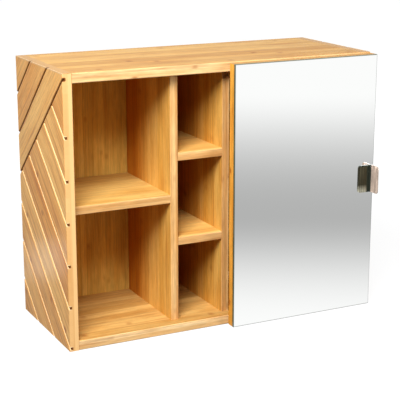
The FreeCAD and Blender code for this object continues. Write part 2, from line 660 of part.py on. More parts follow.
# Door core, mirror tape and mirror glass
core = new_body("door_panel", DOOR_LEFT, CORE_FRONT, "door_margin")
blank = new_sketch(core, "XY_Plane")
rectangle(blank, "0", "0", DOOR_WIDTH, "door_core")
slab = pad(core, blank, DOOR_HEIGHT)
ease(core, slab, "door_arris", along("z", y=number("door_core")))
CORE_LIFT = "(-door_core)"
CUP_X = "(cup_edge + cup_diameter / 2)"
cups = [(CUP_X, f"({z} - door_margin)") for z in HINGES.values()]
drill(core, "XZ_Plane", CORE_LIFT, cups, "(cup_diameter + 2 * cup_play)", "(cup_depth + cup_play)", True)
ears = [(CUP_X, f"({z} - door_margin {sign} ear_pitch / 2)") for z in HINGES.values() for sign in "+-"]
STRIKE_SCREWS = ["(catch_rise - strike_screw_pitch / 2)", "(catch_rise + strike_screw_pitch / 2)"]
strikes = [(f"({CATCH_X} - {DOOR_LEFT})", f"({z} - door_margin)") for z in STRIKE_SCREWS]
drill(core, "XZ_Plane", CORE_LIFT, ears + strikes, SCREW_HOLE, PILOT_DEPTH, True)
studs = [(f"({STUD_X} - {DOOR_LEFT})", f"({z} - door_margin)") for z in STUDS]
drill(core, "XZ_Plane", CORE_LIFT, studs, SCREW_PASS, None, True)

strips = []
for share in ("0", "0.5", "1"):
    left = f"({DOOR_LEFT} + tape_inset + ({DOOR_WIDTH} - 2 * tape_inset - tape_width) * {share})"
    high = f"({DOOR_HEIGHT} - 2 * tape_inset)"
    strips.append(box("tape_strip", left, GLASS_BACK, "(door_margin + tape_inset)", "tape_width", "tape", high))
group("mirror_tape", strips)

mirror = new_body("mirror_glass", DOOR_LEFT, GLASS_FRONT, "door_margin")
blank = new_sketch(mirror, "XZ_Plane")
rectangle(blank, "0", "0", DOOR_WIDTH, DOOR_HEIGHT)
pane = pad(mirror, blank, "glass", against_normal=True)
front_rim = [along("x", y=0), along("z", y=0)]
ease(
    mirror, pane, "glass_arris", lambda a, b: any(test(a, b) for test in front_rim),
    "PartDesign::Chamfer", "Size",
)
drill(mirror, "XZ_Plane", "(-glass)", studs, "(stud_diameter + 2 * stud_play)", None, True)

# Handle: an angle of sheet metal with two studs through the glass
HANDLE_BOTTOM = "(handle_rise - handle_height / 2)"
handle = new_body("door_handle", f"({HANDLE_RIGHT} - handle_flange)", GLASS_FRONT, HANDLE_BOTTOM)
profile = new_sketch(handle, "XY_Plane")
TAB_LEFT = "(handle_flange - handle_plate)"
outline(profile, [
    ("0", "0"), ("0", "-handle_plate"), (TAB_LEFT, "-handle_plate"),
    (TAB_LEFT, "(-handle_plate - handle_tab)"), ("handle_flange", "(-handle_plate - handle_tab)"),
    ("handle_flange", "0"),
])
angle_bar = pad(handle, profile, "handle_height")
tab_tip = -number("handle_plate") - number("handle_tab")
free_corners = [along("y", x=0), along("x", y=tab_tip)]
angle_bar = ease(handle, angle_bar, "handle_corner", lambda a, b: any(test(a, b) for test in free_corners))
inside = along("z", x=number(TAB_LEFT), y=number("-handle_plate"))
angle_bar = ease(handle, angle_bar, "handle_bend", inside)
outside = along("z", x=number("handle_flange"), y=0)
ease(handle, angle_bar, "(handle_bend + handle_plate)", outside)
STUD_FROM_LEFT = "((handle_flange - handle_plate) / 2)"
stud_spots = [(STUD_FROM_LEFT, f"(handle_height / 2 {sign} stud_pitch / 2)") for sign in "+-"]
stud_sketch = new_sketch(handle, "XZ_Plane")
for spot in stud_spots:
    circle(stud_sketch, *spot, "stud_diameter")
pad(handle, stud_sketch, "stud_length", against_normal=True)
drill(handle, "XZ_Plane", "(-stud_length)", stud_spots, SCREW_HOLE, "(stud_length - 1)", True)
HANDLE_SCREW = "(door_core + tape + glass - 1.5)"
screws("handle_screws", [(STUD_X, CORE_BACK, z) for z in STUDS], "+y", HANDLE_SCREW)

# Single-pivot concealed hinges: cup and pin in the door, arm and plate on the divider
ear_screws, wing_screws, arm_screws = [], [], []
ARM_LEFT = f"({RIGHT_BAY} + plate - {PIVOT_X})"
ARM_REACH = f"({ARM_LEFT} + arm_shift)"
ARM_END = "(pivot_depth + door_gap + setback + arm_tail)"
PLATE_Y = f"({INNER_FRONT} + plate_inset)"
ARM_SCREW_Y = f"({PLATE_Y} + plate_length * 0.75)"
for hand, z in HINGES.items():
    cup = new_body(f"{hand}_hinge_cup", PIVOT_X, PIVOT_Y, z)
    wall = new_sketch(cup, "XZ_Plane", "(-pivot_depth)")
    circle(wall, CUP_OFFSET, "0", "cup_diameter")
    pad(cup, wall, "cup_depth")
    ring = new_sketch(cup, "XZ_Plane", "(-pivot_depth)")
    circle(ring, CUP_OFFSET, "0", "(cup_diameter + 2 * rim)")
    pad(cup, ring, "ear", against_normal=True)
    tabs = new_sketch(cup, "XZ_Plane", "(-pivot_depth)")
    rectangle(tabs, f"({CUP_OFFSET} - ear_width / 2)", "(-ear_span / 2)", "ear_width", "ear_span")
    tongue = pad(cup, tabs, "ear", against_normal=True)
    tip = number("ear_span") / 2
    ease(cup, tongue, "(ear_width / 3)", lambda a, b: along("y")(a, b) and abs(abs(a.z) - tip) < TINY)
    hollow = "(cup_depth + ear - cup_wall)"
    mouth = [(CUP_OFFSET, "0")]
    drill(cup, "XZ_Plane", "(-pivot_depth - ear)", mouth, "(cup_diameter - 2 * cup_wall)", hollow, True)
    ear_holes = [(CUP_OFFSET, f"({sign}ear_pitch / 2)") for sign in "+-"]
    drill(cup, "XZ_Plane", "(-pivot_depth - ear)", ear_holes, SCREW_PASS, "ear", True)
    drill(cup, "XY_Plane", "(cup_diameter / 2)", [("0", "0")], "(pin_diameter + 2 * pin_play)", "cup_diameter")

    pin = new_body(f"{hand}_hinge_pin", PIVOT_X, PIVOT_Y, z)
    half = new_sketch(pin, "XZ_Plane")
    round_end, bevel_end = "(pin_length / 2)", "(pin_length / 2 - pin_bevel)"
    thick, slim = "(pin_diameter / 2)", "(pin_diameter / 2 - pin_bevel)"
    outline(half, [
        ("0", f"-{round_end}"), (slim, f"-{round_end}"), (thick, f"-{bevel_end}"),
        (thick, bevel_end), (slim, round_end), ("0", round_end),
    ])
    turn(pin, half)

    arm = new_body(f"{hand}_hinge_arm", PIVOT_X, PIVOT_Y, z)
    strap = new_sketch(arm, "XY_Plane", "(-arm_width / 2)")
    leg, jog = f"({ARM_REACH} + strap)", "(arm_jog + strap)"
    outline(strap, [
        ("0", "(-strap / 2)"), (leg, "(-strap / 2)"), (leg, jog), (f"({ARM_LEFT} + strap)", jog),
        (f"({ARM_LEFT} + strap)", ARM_END), (ARM_LEFT, ARM_END), (ARM_LEFT, "arm_jog"),
        (ARM_REACH, "arm_jog"), (ARM_REACH, "(strap / 2)"), ("0", "(strap / 2)"),
    ])
    bar = pad(arm, strap, "arm_width")
    inner = [(ARM_REACH, "strap / 2"), (ARM_REACH, "arm_jog"), (f"{ARM_LEFT} + strap", jog)]
    outer = [(leg, "-strap / 2"), (leg, jog), (ARM_LEFT, "arm_jog")]
    for bends, radius in ((inner, "arm_bend"), (outer, "(arm_bend + strap)")):
        tests = [along("z", x=number(x), y=number(y)) for x, y in bends]
        bar = ease(arm, bar, radius, lambda a, b: any(test(a, b) for test in tests))
    eye = new_sketch(arm, "XY_Plane", "(-arm_width / 2)")
    circle(eye, "0", "0", "eye_diameter")
    pad(arm, eye, "arm_width")
    drill(arm, "XY_Plane", "(arm_width / 2)", [("0", "0")], "(pin_diameter + 2 * pin_play)", "arm_width")
    drill(arm, "YZ_Plane", ARM_LEFT, [(f"({ARM_SCREW_Y} - {PIVOT_Y})", "0")], SCREW_PASS, "strap", True)

    wings = new_body(f"{hand}_hinge_plate", RIGHT_BAY, PLATE_Y, z)
    cross = new_sketch(wings, "YZ_Plane")
    near, far = "(plate_length / 2 - wing_width / 2)", "(plate_length / 2 + wing_width / 2)"
    high, low = "(plate_span / 2)", "(-plate_span / 2)"
    top, bottom = "(arm_width / 2)", "(-arm_width / 2)"
    outline(cross, [
        ("0", bottom), (near, bottom), (near, low), (far, low), (far, bottom), ("plate_length", bottom),
        ("plate_length", top), (far, top), (far, high), (near, high), (near, top), ("0", top),
    ])
    casting = pad(wings, cross, "plate")
    reach = number("plate_span") / 2
    ease(wings, casting, "(wing_width / 3)", lambda a, b: along("x")(a, b) and abs(abs(a.z) - reach) < TINY)
    wing_spots = [("(plate_length / 2)", f"({sign}wing_pitch / 2)") for sign in "+-"]
    drill(wings, "YZ_Plane", "0", wing_spots, SCREW_PASS, None, True)
    drill(wings, "YZ_Plane", "plate", [("(plate_length * 0.75)", "0")], SCREW_HOLE, "(plate - 0.5)")

    ear_seat = (f"({PIVOT_X} + {CUP_OFFSET})", f"({CORE_BACK} + ear)")
    wing_seat = (f"({RIGHT_BAY} + plate)", f"({PLATE_Y} + plate_length / 2)")
    for sign in "+-":
        ear_screws.append((*ear_seat, f"({z} {sign} ear_pitch / 2)"))
        wing_screws.append((*wing_seat, f"({z} {sign} wing_pitch / 2)"))
    arm_screws.append((f"({RIGHT_BAY} + plate + strap)", ARM_SCREW_Y, z))
screws("hinge_cup_screws", ear_screws, "+y", "(ear + screw_bite)")
screws("hinge_plate_screws", wing_screws, "+x", "(plate + screw_bite)")
screws("hinge_arm_screws", arm_screws, "+x", "(strap + plate - 1)")

# Magnetic catch on the right side, strike plate and bumpers on the door
CATCH_FRONT = f"({FRONT} + catch_setback)"
catch = new_body("catch_body", f"({INNER_RIGHT} - catch_width)", CATCH_FRONT, "(catch_rise - catch_length / 2)")
blank = new_sketch(catch, "XY_Plane")
rectangle(blank, "0", "0", "catch_width", "catch_depth")
block = pad(catch, blank, "catch_length")
ease(catch, block, "(catch_width / 6)", along("z", x=0))
well = new_sketch(catch, "XZ_Plane")
WELL_WIDE = "(magnet_width + 2 * pole + 2 * pole_play)"
WELL_HIGH = "(magnet_length + 2 * pole_play)"
well_corner = (f"((catch_width - {WELL_WIDE}) / 2)", f"((catch_length - {WELL_HIGH}) / 2)")
rectangle(well, *well_corner, WELL_WIDE, WELL_HIGH)
cut(catch, well, "(magnet_depth + pole_play)")
catch_holes = [("(catch_depth / 2)", f"({z} - catch_rise + catch_length / 2)") for z in CATCH_SCREWS]
drill(catch, "YZ_Plane", "0", catch_holes, SCREW_PASS, None, True)
MAGNET_Z = "(catch_rise - magnet_length / 2)"
magnet = box(
    "catch_magnet", f"({CATCH_X} - magnet_width / 2)", CATCH_FRONT, MAGNET_Z,
    "magnet_width", "magnet_depth", "magnet_length",
)
node(magnet, "catch_magnet")
POLE_TIP = f"({CORE_BACK} + strike + pole_gap)"
POLE_DEEP = f"({CATCH_FRONT} + magnet_depth - {POLE_TIP})"
poles = []
for x in (f"({CATCH_X} - magnet_width / 2 - pole)", f"({CATCH_X} + magnet_width / 2)"):
    poles.append(box("catch_pole", x, POLE_TIP, MAGNET_Z, "pole", POLE_DEEP, "magnet_length"))
group("catch_poles", poles)
CATCH_SEAT = f"({INNER_RIGHT} - catch_width)"
catch_spots = [(CATCH_SEAT, f"({FRONT} + {CATCH_MIDDLE})", z) for z in CATCH_SCREWS]
screws("catch_screws", catch_spots, "-x", "(catch_width + screw_bite)")

strike = new_body("strike_plate", CATCH_X, f"({CORE_BACK} + strike)", "catch_rise")
blank = new_sketch(strike, "XZ_Plane")
rectangle(blank, "(-strike_width / 2)", "(-strike_length / 2)", "strike_width", "strike_length")
metal = pad(strike, blank, "strike")
ease(strike, metal, "(strike_width / 4)", along("y"))
strike_holes = [("0", f"({z} - catch_rise)") for z in STRIKE_SCREWS]
drill(strike, "XZ_Plane", "0", strike_holes, SCREW_PASS, None, True)
strike_spots = [(CATCH_X, f"({CORE_BACK} + strike)", z) for z in STRIKE_SCREWS]
screws("strike_screws", strike_spots, "+y", "(strike + screw_bite)")

bumpers = []
BUMPER_X = "(width / 2 - board / 2)"
BUMPER_REACH = "(door_gap - bumper_gap)"
for z in ("(door_margin + bumper_inset)", "(height - door_margin - bumper_inset)"):
    bumpers.append(rod("door_bumper", BUMPER_X, CORE_BACK, z, "bumper_diameter", BUMPER_REACH, "y"))
group("door_bumpers", bumpers)

doc.recompute()
for thing in doc.Objects:
    if "Invalid" in thing.State or "Error" in thing.State:
        raise RuntimeError(f"{thing.Name} failed: {thing.State}")
for pocket in pockets:
    removed = pocket.BaseFeature.Shape.Volume - pocket.Shape.Volume
    if removed < TINY:
        raise RuntimeError(f"{pocket.Name} removes nothing")
for thing in nodes:
    if thing.Shape.isNull() or not thing.Shape.isValid():
        raise RuntimeError(f"{thing.Label} has no valid shape")

os.makedirs("parts", exist_ok=True)
for thing in nodes:
    thing.Shape.exportStep(f"parts/{thing.Label}.step")
    print(thing.Label, len(thing.Shape.Solids), round(thing.Shape.Volume, 1))
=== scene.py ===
import math
from functools import partial

import bpy
import numpy as np
from bpy.props import FloatProperty, FloatVectorProperty, PointerProperty
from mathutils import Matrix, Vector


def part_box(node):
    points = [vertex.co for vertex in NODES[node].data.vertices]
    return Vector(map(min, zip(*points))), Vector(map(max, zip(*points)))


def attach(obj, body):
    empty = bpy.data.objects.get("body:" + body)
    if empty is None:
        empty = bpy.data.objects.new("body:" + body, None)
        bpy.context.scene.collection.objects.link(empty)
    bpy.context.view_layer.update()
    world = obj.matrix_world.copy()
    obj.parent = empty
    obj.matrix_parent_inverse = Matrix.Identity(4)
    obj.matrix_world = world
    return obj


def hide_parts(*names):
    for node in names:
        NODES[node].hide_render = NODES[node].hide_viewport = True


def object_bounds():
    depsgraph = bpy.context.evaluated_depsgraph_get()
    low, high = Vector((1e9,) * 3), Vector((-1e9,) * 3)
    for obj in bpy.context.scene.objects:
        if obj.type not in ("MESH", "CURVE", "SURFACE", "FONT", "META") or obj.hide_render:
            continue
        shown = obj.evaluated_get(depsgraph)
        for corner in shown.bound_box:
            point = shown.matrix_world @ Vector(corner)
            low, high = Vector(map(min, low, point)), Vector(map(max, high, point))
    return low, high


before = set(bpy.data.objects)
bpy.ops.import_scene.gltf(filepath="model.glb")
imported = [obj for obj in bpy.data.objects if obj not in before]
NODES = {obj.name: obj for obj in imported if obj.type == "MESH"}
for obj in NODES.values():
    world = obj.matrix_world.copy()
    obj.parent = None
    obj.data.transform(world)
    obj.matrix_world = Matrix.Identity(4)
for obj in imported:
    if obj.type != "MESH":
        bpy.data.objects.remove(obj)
CAD_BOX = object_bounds()

bl_info = {
    "name": "Bamboo mirror cabinet",
    "version": (1, 0, 0),
    "blender": (4, 5, 0),
    "location": "View3D > Sidebar > Cabinet",
    "description": "Finishes, small fittings and studio for a bamboo cabinet with a mirror door",
    "category": "Object",
}

X, Y, Z = "XYZ"
MM = 0.001
WHITE = (1.0, 1.0, 1.0, 1.0)
# A board isn't sawn along a glue line: its first stave and its first layer start at these shares
STAVE_START, PLY_START = 0.13, 0.37
# The planks over the cap groove count from this number, so none has the number of one below it
PLANKS_APART = 20
# How far a stave of a plank follows its own draw, rather than the plank's
OWN_DRAW = 0.3
# Knuckle: half its length where it starts and where it is full, grain and reach of its waves
KNUCKLE_START, KNUCKLE_FULL, WAVE_GRAIN, WAVE_REACH = 12 * MM, 4 * MM, 9 * MM, 7 * MM
# Least and most roughness of bamboo and its level of reflection, oiled and rubbed smoother
OILED, RUBBED = (0.42, 0.56, 0.15), (0.26, 0.36, 0.06)
# Kinds of node that are used often
MATH, VECTOR_MATH, MIX = "ShaderNodeMath", "ShaderNodeVectorMath", "ShaderNodeMix"
RANGE = "ShaderNodeMapRange"
# Setting of a range node that eases in and out
EASED = {"interpolation_type": "SMOOTHSTEP"}
# Most values of a noise lie between these two
NOISE_SPAN = {"From Min": 0.3, "From Max": 0.7}
# Settings of a mix node that blends two colours, and of one that tints a colour
BLEND = {"data_type": "RGBA"}
TINT = {**BLEND, "blend_type": "MULTIPLY"}
# Points along a rounded corner, a bend, a dome, the handle's height and a full turn
CORNER_STEPS, BEND_STEPS, DOME_STEPS, HEIGHT_STEPS, TURN_STEPS = 9, 11, 10, 7, 40
# Faces that meet at a sharper angle than this show a crease
CREASE = math.radians(35)


def linear(code):
    """Turns an sRGB hex colour into linear red, green, blue and alpha."""
    srgb = np.array([int(code[i:i + 2], 16) for i in (1, 3, 5)]) / 255
    light = np.where(srgb <= 0.04045, srgb / 12.92, ((srgb + 0.055) / 1.055) ** 2.4)
    return (*light.tolist(), 1.0)


def colour(name, description, code):
    """One colour setting, given as an sRGB hex value."""
    return FloatVectorProperty(name=name, description=description, default=linear(code),
                               subtype="COLOR", size=4, min=0.0, max=1.0)


def length(name, description, metres):
    """One length setting, in metres."""
    return FloatProperty(name=name, description=description, default=metres, min=0.0,
                         unit="LENGTH", subtype="DISTANCE")


def spot(name, description, where):
    """One setting for a place, in metres."""
    return FloatVectorProperty(name=name, description=description, default=where,
                               subtype="TRANSLATION", unit="LENGTH")


def tilt(name, description, degrees):
    """One angle setting, given in degrees."""
    return FloatProperty(name=name, description=description, default=math.radians(degrees),
                         subtype="ANGLE")


def watts(name, description, power):
    """One setting for the power of a lamp."""
    return FloatProperty(name=name, description=description, default=power, unit="POWER")


def fraction(name, description, value):
    """One setting from 0 to 1."""
    return FloatProperty(name=name, description=description, default=value, min=0.0, max=1.0)


class BambooSettings(bpy.types.PropertyGroup):
    """Staves, knuckles, planks and tones of the bamboo boards."""

    stave: length("Stave width", "Width of one bamboo stave on the face of a board", 20.5 * MM)
    ply: length("Ply", "Thickness of one layer of staves, seen on the edges of a board", 5.3 * MM)
    slat: length("Slat width", "Width of one strip on the thin back board", 9.5 * MM)
    knuckle_gap: length("Knuckle gap", "Distance between two knuckles of one stave", 230 * MM)
    plank: length("Plank width", "Distance between two grooves of a side panel", 52.5 * MM)
    plank_ply: length("Plank thickness", "Outer layer of a side panel", 9 * MM)
    slope: tilt("Plank slope", "Slope of the side panels' planks", 40.5)
    cap: length("Cap groove", "Height at which the groove that parts the planks' two directions "
                "meets the front", 441 * MM)
    start: length("First groove", "Height at which the highest groove below it meets the front",
                  350.1 * MM)
    carrier: length("Carrier", "Distance from the middle at which a side panel's pale carrier "
                    "board ends", 271 * MM)
    side_pale: colour("Side, pale stave", "Palest stave of the side panels", "#ffca77")
    side_deep: colour("Side, deep stave", "Deepest stave of the side panels", "#e49a40")
    deck_pale: colour("Deck, pale stave", "Palest stave of top and bottom", "#daae67")
    deck_deep: colour("Deck, deep stave", "Deepest stave of top and bottom", "#bb8b48")
    wall_pale: colour("Divider, pale stave", "Palest stave of the dividers", "#eec06a")
    wall_deep: colour("Divider, deep stave", "Deepest stave of the dividers", "#d49c42")
    shelf_pale: colour("Shelf, pale stave", "Palest stave of the long shelves", "#dcb367")
    shelf_deep: colour("Shelf, deep stave", "Deepest stave of the long shelves", "#c4964d")
    short_pale: colour("Short shelf, pale stave", "Palest stave of the short shelves", "#f0c878")
    short_deep: colour("Short shelf, deep stave", "Deepest stave of the short shelves", "#dca85a")
    door_pale: colour("Door, pale stave", "Palest stave of the door's core", "#f2b24a")
    door_deep: colour("Door, deep stave", "Deepest stave of the door's core", "#e29c36")
    back_pale: colour("Back, pale slat", "Palest strip of the back board", "#ecc467")
    back_deep: colour("Back, deep slat", "Deepest strip of the back board", "#d5aa51")
    edge_pale: colour("Edge, pale layer", "Palest layer on the front edges", "#deb47c")
    edge_deep: colour("Edge, deep layer", "Deepest layer on the front edges", "#c7945a")
    rim: colour("Top edge, pale layer", "Palest layer on the top's front edge", "#e9c995")
    # On the bottom's front edge this tone is partly its own pale layers and partly a painted
    # highlight
    fresh: colour("Fresh cut", "Wall of a groove, and the bottom's front edge", "#f2d2a0")
    # Painted shade: wall of the grooves along the cap and above it
    dusk: colour("Dusky wall", "Wall of the grooves along the cap and above it", "#84501f")
    # Painted shade: dark spot in the notch where a groove meets the front edge
    scorch: colour("Scorch", "Scorched end of a groove", "#6a3c18")
    knuckle: colour("Knuckle", "Reddish tint of the knuckle marks", "#b07a4a")
    streak: colour("Streak", "Brown tint of the dense streaks", "#ba8552")
    streaks: fraction("Streaks", "How strong the brown streaks are", 0.7)
    smoke: colour("Smoke", "Tint of the smoky drift", "#e4c694")
    # Painted shade: tint of the dividers' rear half, where the niches lie in shade
    aged: colour("Aged", "Tint of the dividers' rear half", "#d8b070")
    beech: colour("Beech", "Turned beech of the dowels", "#d8b587")


class DoorSettings(bpy.types.PropertyGroup):
    """Mirror, tape, handle and bumpers of the door."""

    silver: colour("Silver", "Reflection of the silvered glass", "#fbfcfb")
    border: colour("Border", "Grey rim of the silver along the arris", "#a8aaa6")
    glass_edge: colour("Glass edge", "Ground edge of the glass", "#4c5341")
    foam: colour("Foam", "Foam tape behind the glass", "#33332a")
    nickel: colour("Nickel", "Brushed nickel of the handle's tab", "#ccb6a6")
    # Painted shade on the handle's flange and along its bend, and a painted reflection at its
    # lower end
    nickel_dark: colour("Nickel, flange", "Darker nickel of the flange on the glass", "#4e4a3a")
    nickel_fold: colour("Nickel, fold", "Darkest nickel, along the handle's bend", "#333a33")
    nickel_worn: colour("Nickel, worn", "Pale worn nickel at the flange's lower end", "#c4c0aa")
    fold: length("Handle fold", "Width of the dark strip along the bend", 8.5 * MM)
    # Height of the painted reflection at the flange's lower end
    worn: length("Worn end", "Height of the worn lower end of the flange", 14 * MM)
    plate: length("Handle sheet", "Thickness of the handle's sheet", 2 * MM)
    bend: length("Handle bend", "Inside radius of the handle's bend", 1.5 * MM)
    corner: length("Handle corner", "Radius of the handle's free corners", 5 * MM)
    stud: length("Stud diameter", "Diameter of the handle's studs", 6.5 * MM)
    stud_pitch: length("Stud pitch", "Distance between the handle's studs", 30 * MM)
    bumper: colour("Bumper", "Clear soft bumper", "#d6d6cf")


class FittingSettings(bpy.types.PropertyGroup):
    """Steel, plastic and magnet of the fittings."""

    steel: colour("Plated steel", "Nickel-plated steel of hinges, plates and pins", "#b9bcbd")
    plastic: colour("Catch body", "White moulded plastic", "#e4e1da")
    ferrite: colour("Magnet", "Sintered ferrite", "#2b2b2d")


class StageSettings(bpy.types.PropertyGroup):
    """Camera, light and floor."""

    lens: FloatProperty(name="Lens", description="Focal length on a 36 mm sensor",
                        default=106.7, unit="CAMERA")
    eye: spot("Camera place", "Where the camera stands", (-0.8866, -1.7998, 0.7241))
    yaw: tilt("Camera yaw", "Turn to the right of straight on", 26.46)
    dip: tilt("Camera dip", "Tilt below the horizon", 14.82)
    lamp_size: length("Lamp size", "Side of a square lamp", 0.95)
    key_place: spot("Key place", "Middle of the key light", (-0.94, -1.20, 1.68))
    key_power: watts("Key power", "Power of the key light", 84.0)
    fill_place: spot("Fill place", "Middle of the fill light", (1.30, -1.75, 0.75))
    fill_power: watts("Fill power", "Power of the fill light", 23.0)
    back_place: spot("Back light place", "Middle of the back light", (0.9, 1.9, 0.8))
    back_power: watts("Back light power", "Power of the back light", 18.0)
    card_place: spot("Card place", "Middle of the low white card that the left side reflects",
                     (-0.375, 0.25, 0.04))
    card_size: length("Card size", "Side of the card", 0.07)
    card_power: watts("Card power", "Power of the light on the card", 0.046)
    ambient: fraction("Ambient", "Strength of the room's own light", 0.018)
    floor: colour("Floor", "Tone of the floor in the light that it bounces", "#595957")
    reach: length("Floor reach", "Half the width of the floor", 8.0)
    sweep: colour("Floor sweep", "Grey band of the floor that the mirror shows", "#b5b5b5")
    sweep_near: length("Sweep, deepest", "Distance from the mirror at which the band is deepest",
                       0.71)
    sweep_far: length("Sweep, end", "Distance from the mirror at which the band ends", 2.4)
    haze: fraction("Haze", "Own light of the floor round the object, where 1 is white; the lamps "
                   "add the rest outside its shadow", 0.92)
    haze_near: length("Haze, near", "Distance up to which the floor has only the haze", 0.5)
    haze_far: length("Haze, far", "Distance from which the floor's own light is white", 1.3)
    shadow: fraction("Shadow", "Share of the lamps' light that the floor shows, and that the "
                     "object's shadow takes away", 0.11)


def add_node(tree, kind, inputs=None, **settings):
    """Adds one node. Settings are its own properties; inputs, named or numbered, are set,
    or linked where they are nodes or sockets."""
    made = tree.nodes.new(kind)
    for key, value in settings.items():
        setattr(made, key, value)
    for key, value in (inputs or {}).items():
        by_name = [s for s in made.inputs if s.enabled and s.name == key]
        socket = made.inputs[key] if isinstance(key, int) else by_name[0]
        if isinstance(value, bpy.types.Node):
            value = next(s for s in value.outputs if s.enabled)
        if isinstance(value, bpy.types.NodeSocket):
            tree.links.new(value, socket)
        else:
            socket.default_value = value
    return made


def emptied(owner):
    """Clears the nodes of a material or world, and gives the function that adds one."""
    owner.use_nodes = True
    owner.node_tree.nodes.clear()
    return partial(add_node, owner.node_tree)


def blank(name):
    """A new material without nodes, and the function that adds one."""
    material = bpy.data.materials.new(name)
    return material, emptied(material)


def surfaced(material, add, inputs):
    """The material, with a surface that has these inputs."""
    shader = add("ShaderNodeBsdfPrincipled", inputs)
    add("ShaderNodeOutputMaterial", {"Surface": shader})
    return material


def place(add):
    """The point's own place in metres: the vector and its three parts."""
    point = add("ShaderNodeTexCoord").outputs["Object"]
    parts = add("ShaderNodeSeparateXYZ", {0: point})
    return point, parts.outputs


def grains(add, point, sizes, detail=3.0, roughness=0.6):
    """Noise whose grains have these sizes in metres along the axes of the point."""
    where = add(VECTOR_MATH, {0: point, 1: tuple(1 / size for size in sizes)},
                operation="MULTIPLY")
    return add("ShaderNodeTexNoise",
               {"Vector": where, "Scale": 1.0, "Detail": detail, "Roughness": roughness})


def region(add, limits):
    """Share of a point in a soft-edged region. Each limit is a value, the place where the region
    starts and the place where it is full; the shares that the limits give are multiplied."""
    ramps = [add(RANGE, {"Value": value, "From Min": start, "From Max": full})
             for value, start, full in limits]
    share = ramps[0]
    for ramp in ramps[1:]:
        share = add(MATH, {0: share, 1: ramp}, operation="MULTIPLY")
    return share


def sight(add):
    """Rays that come straight from the eye, also through something clear, and reflected rays."""
    path = add("ShaderNodeLightPath").outputs
    straight_on = add(MATH, {0: path["Is Camera Ray"], 1: path["Is Transmission Ray"]},
                      operation="MAXIMUM")
    return straight_on, path["Is Glossy Ray"]


def straight(along, across, through):
    """Lay of a plain board: its staves run along one axis, and it has no groove."""
    return lambda add, point, parts: (parts[along], parts[across], parts[through], None)


def chevron(settings, front):
    """Lay of a grooved side panel. Below the cap groove the staves follow the planks that rise
    towards the wall, above it the planks that fall towards the wall, and on the carrier board
    behind the planks they stand upright. The last value is the groove: the distance to the
    nearest one, the height over the cap groove, and the distance from the cabinet's middle."""
    def lay(add, point, parts):
        sine, cosine = math.sin(settings.slope), math.cos(settings.slope)
        apart = PLANKS_APART * settings.plank

        def lean(y_share, z_share, height, shift=0.0):
            """Distance from a point of the front edge along a slope, and a shift."""
            share = add(VECTOR_MATH, {0: point, 1: (0.0, y_share, z_share)},
                        operation="DOT_PRODUCT")
            start = shift - y_share * front - z_share * height
            return add(MATH, {0: share, 1: start}, operation="ADD")

        above = lean(sine, cosine, settings.cap, apart)
        upper = add(MATH, {0: above, 1: apart}, operation="GREATER_THAN")
        below = lean(-sine, cosine, settings.start)
        side = add(MIX, {"Factor": upper, "A": below, "B": above})
        run = add(MIX, {"Factor": upper, "A": lean(cosine, sine, settings.start),
                        "B": lean(cosine, -sine, settings.cap)})
        # Grooves lie at whole planks, none between the first one and the cap, and one along it
        first = add(MATH, {0: below, 1: settings.plank / 2}, operation="MINIMUM")
        line = add(MIX, {"Factor": upper, "A": first, "B": above})
        near = add(MATH, {0: line, 1: settings.plank}, operation="PINGPONG")
        turn = add(MATH, {0: settings.plank, 1: near}, operation="SUBTRACT")
        nearest = add(MATH, {0: near, 1: turn}, operation="MINIMUM")
        to_cap = add(MATH, {0: above, 1: apart}, operation="SUBTRACT")
        cap_gap = add(MATH, {0: to_cap}, operation="ABSOLUTE")
        gap = add(MATH, {0: nearest, 1: cap_gap}, operation="MINIMUM")
        outward = add(MATH, {0: parts[X]}, operation="ABSOLUTE")
        inner = add(MATH, {0: outward, 1: settings.carrier}, operation="LESS_THAN")
        run, side = (add(MIX, {"Factor": inner, "A": plank, "B": parts[upright]})
                     for plank, upright in ((run, Z), (side, Y)))
        return run, side, parts[X], (gap, to_cap, outward)
    return lay


def drawn(add, cell, layer, seed):
    """A random draw for one cell of one layer of a board."""
    key = add("ShaderNodeCombineXYZ", {"X": cell, "Y": layer, "Z": seed})
    return add("ShaderNodeTexWhiteNoise", {"Vector": key}, noise_dimensions="3D")


def staves(add, side, depth, stave, ply, seed):
    """Each stave is one cell across the board and through its layers. Gives the place across
    the stave from 0 to 1, three random draws for the stave, and the number of its layer."""
    lane, level = (add(MATH, {0: value, 1: 1 / size, 2: start}, operation="MULTIPLY_ADD")
                   for value, size, start in ((side, stave, STAVE_START), (depth, ply, PLY_START)))
    cell, layer = (add(MATH, {0: value}, operation="FLOOR") for value in (lane, level))
    across = add(MATH, {0: lane}, operation="FRACT")
    draw = drawn(add, cell, layer, seed)
    return across, add("ShaderNodeSeparateColor", {0: draw.outputs["Color"]}).outputs, layer


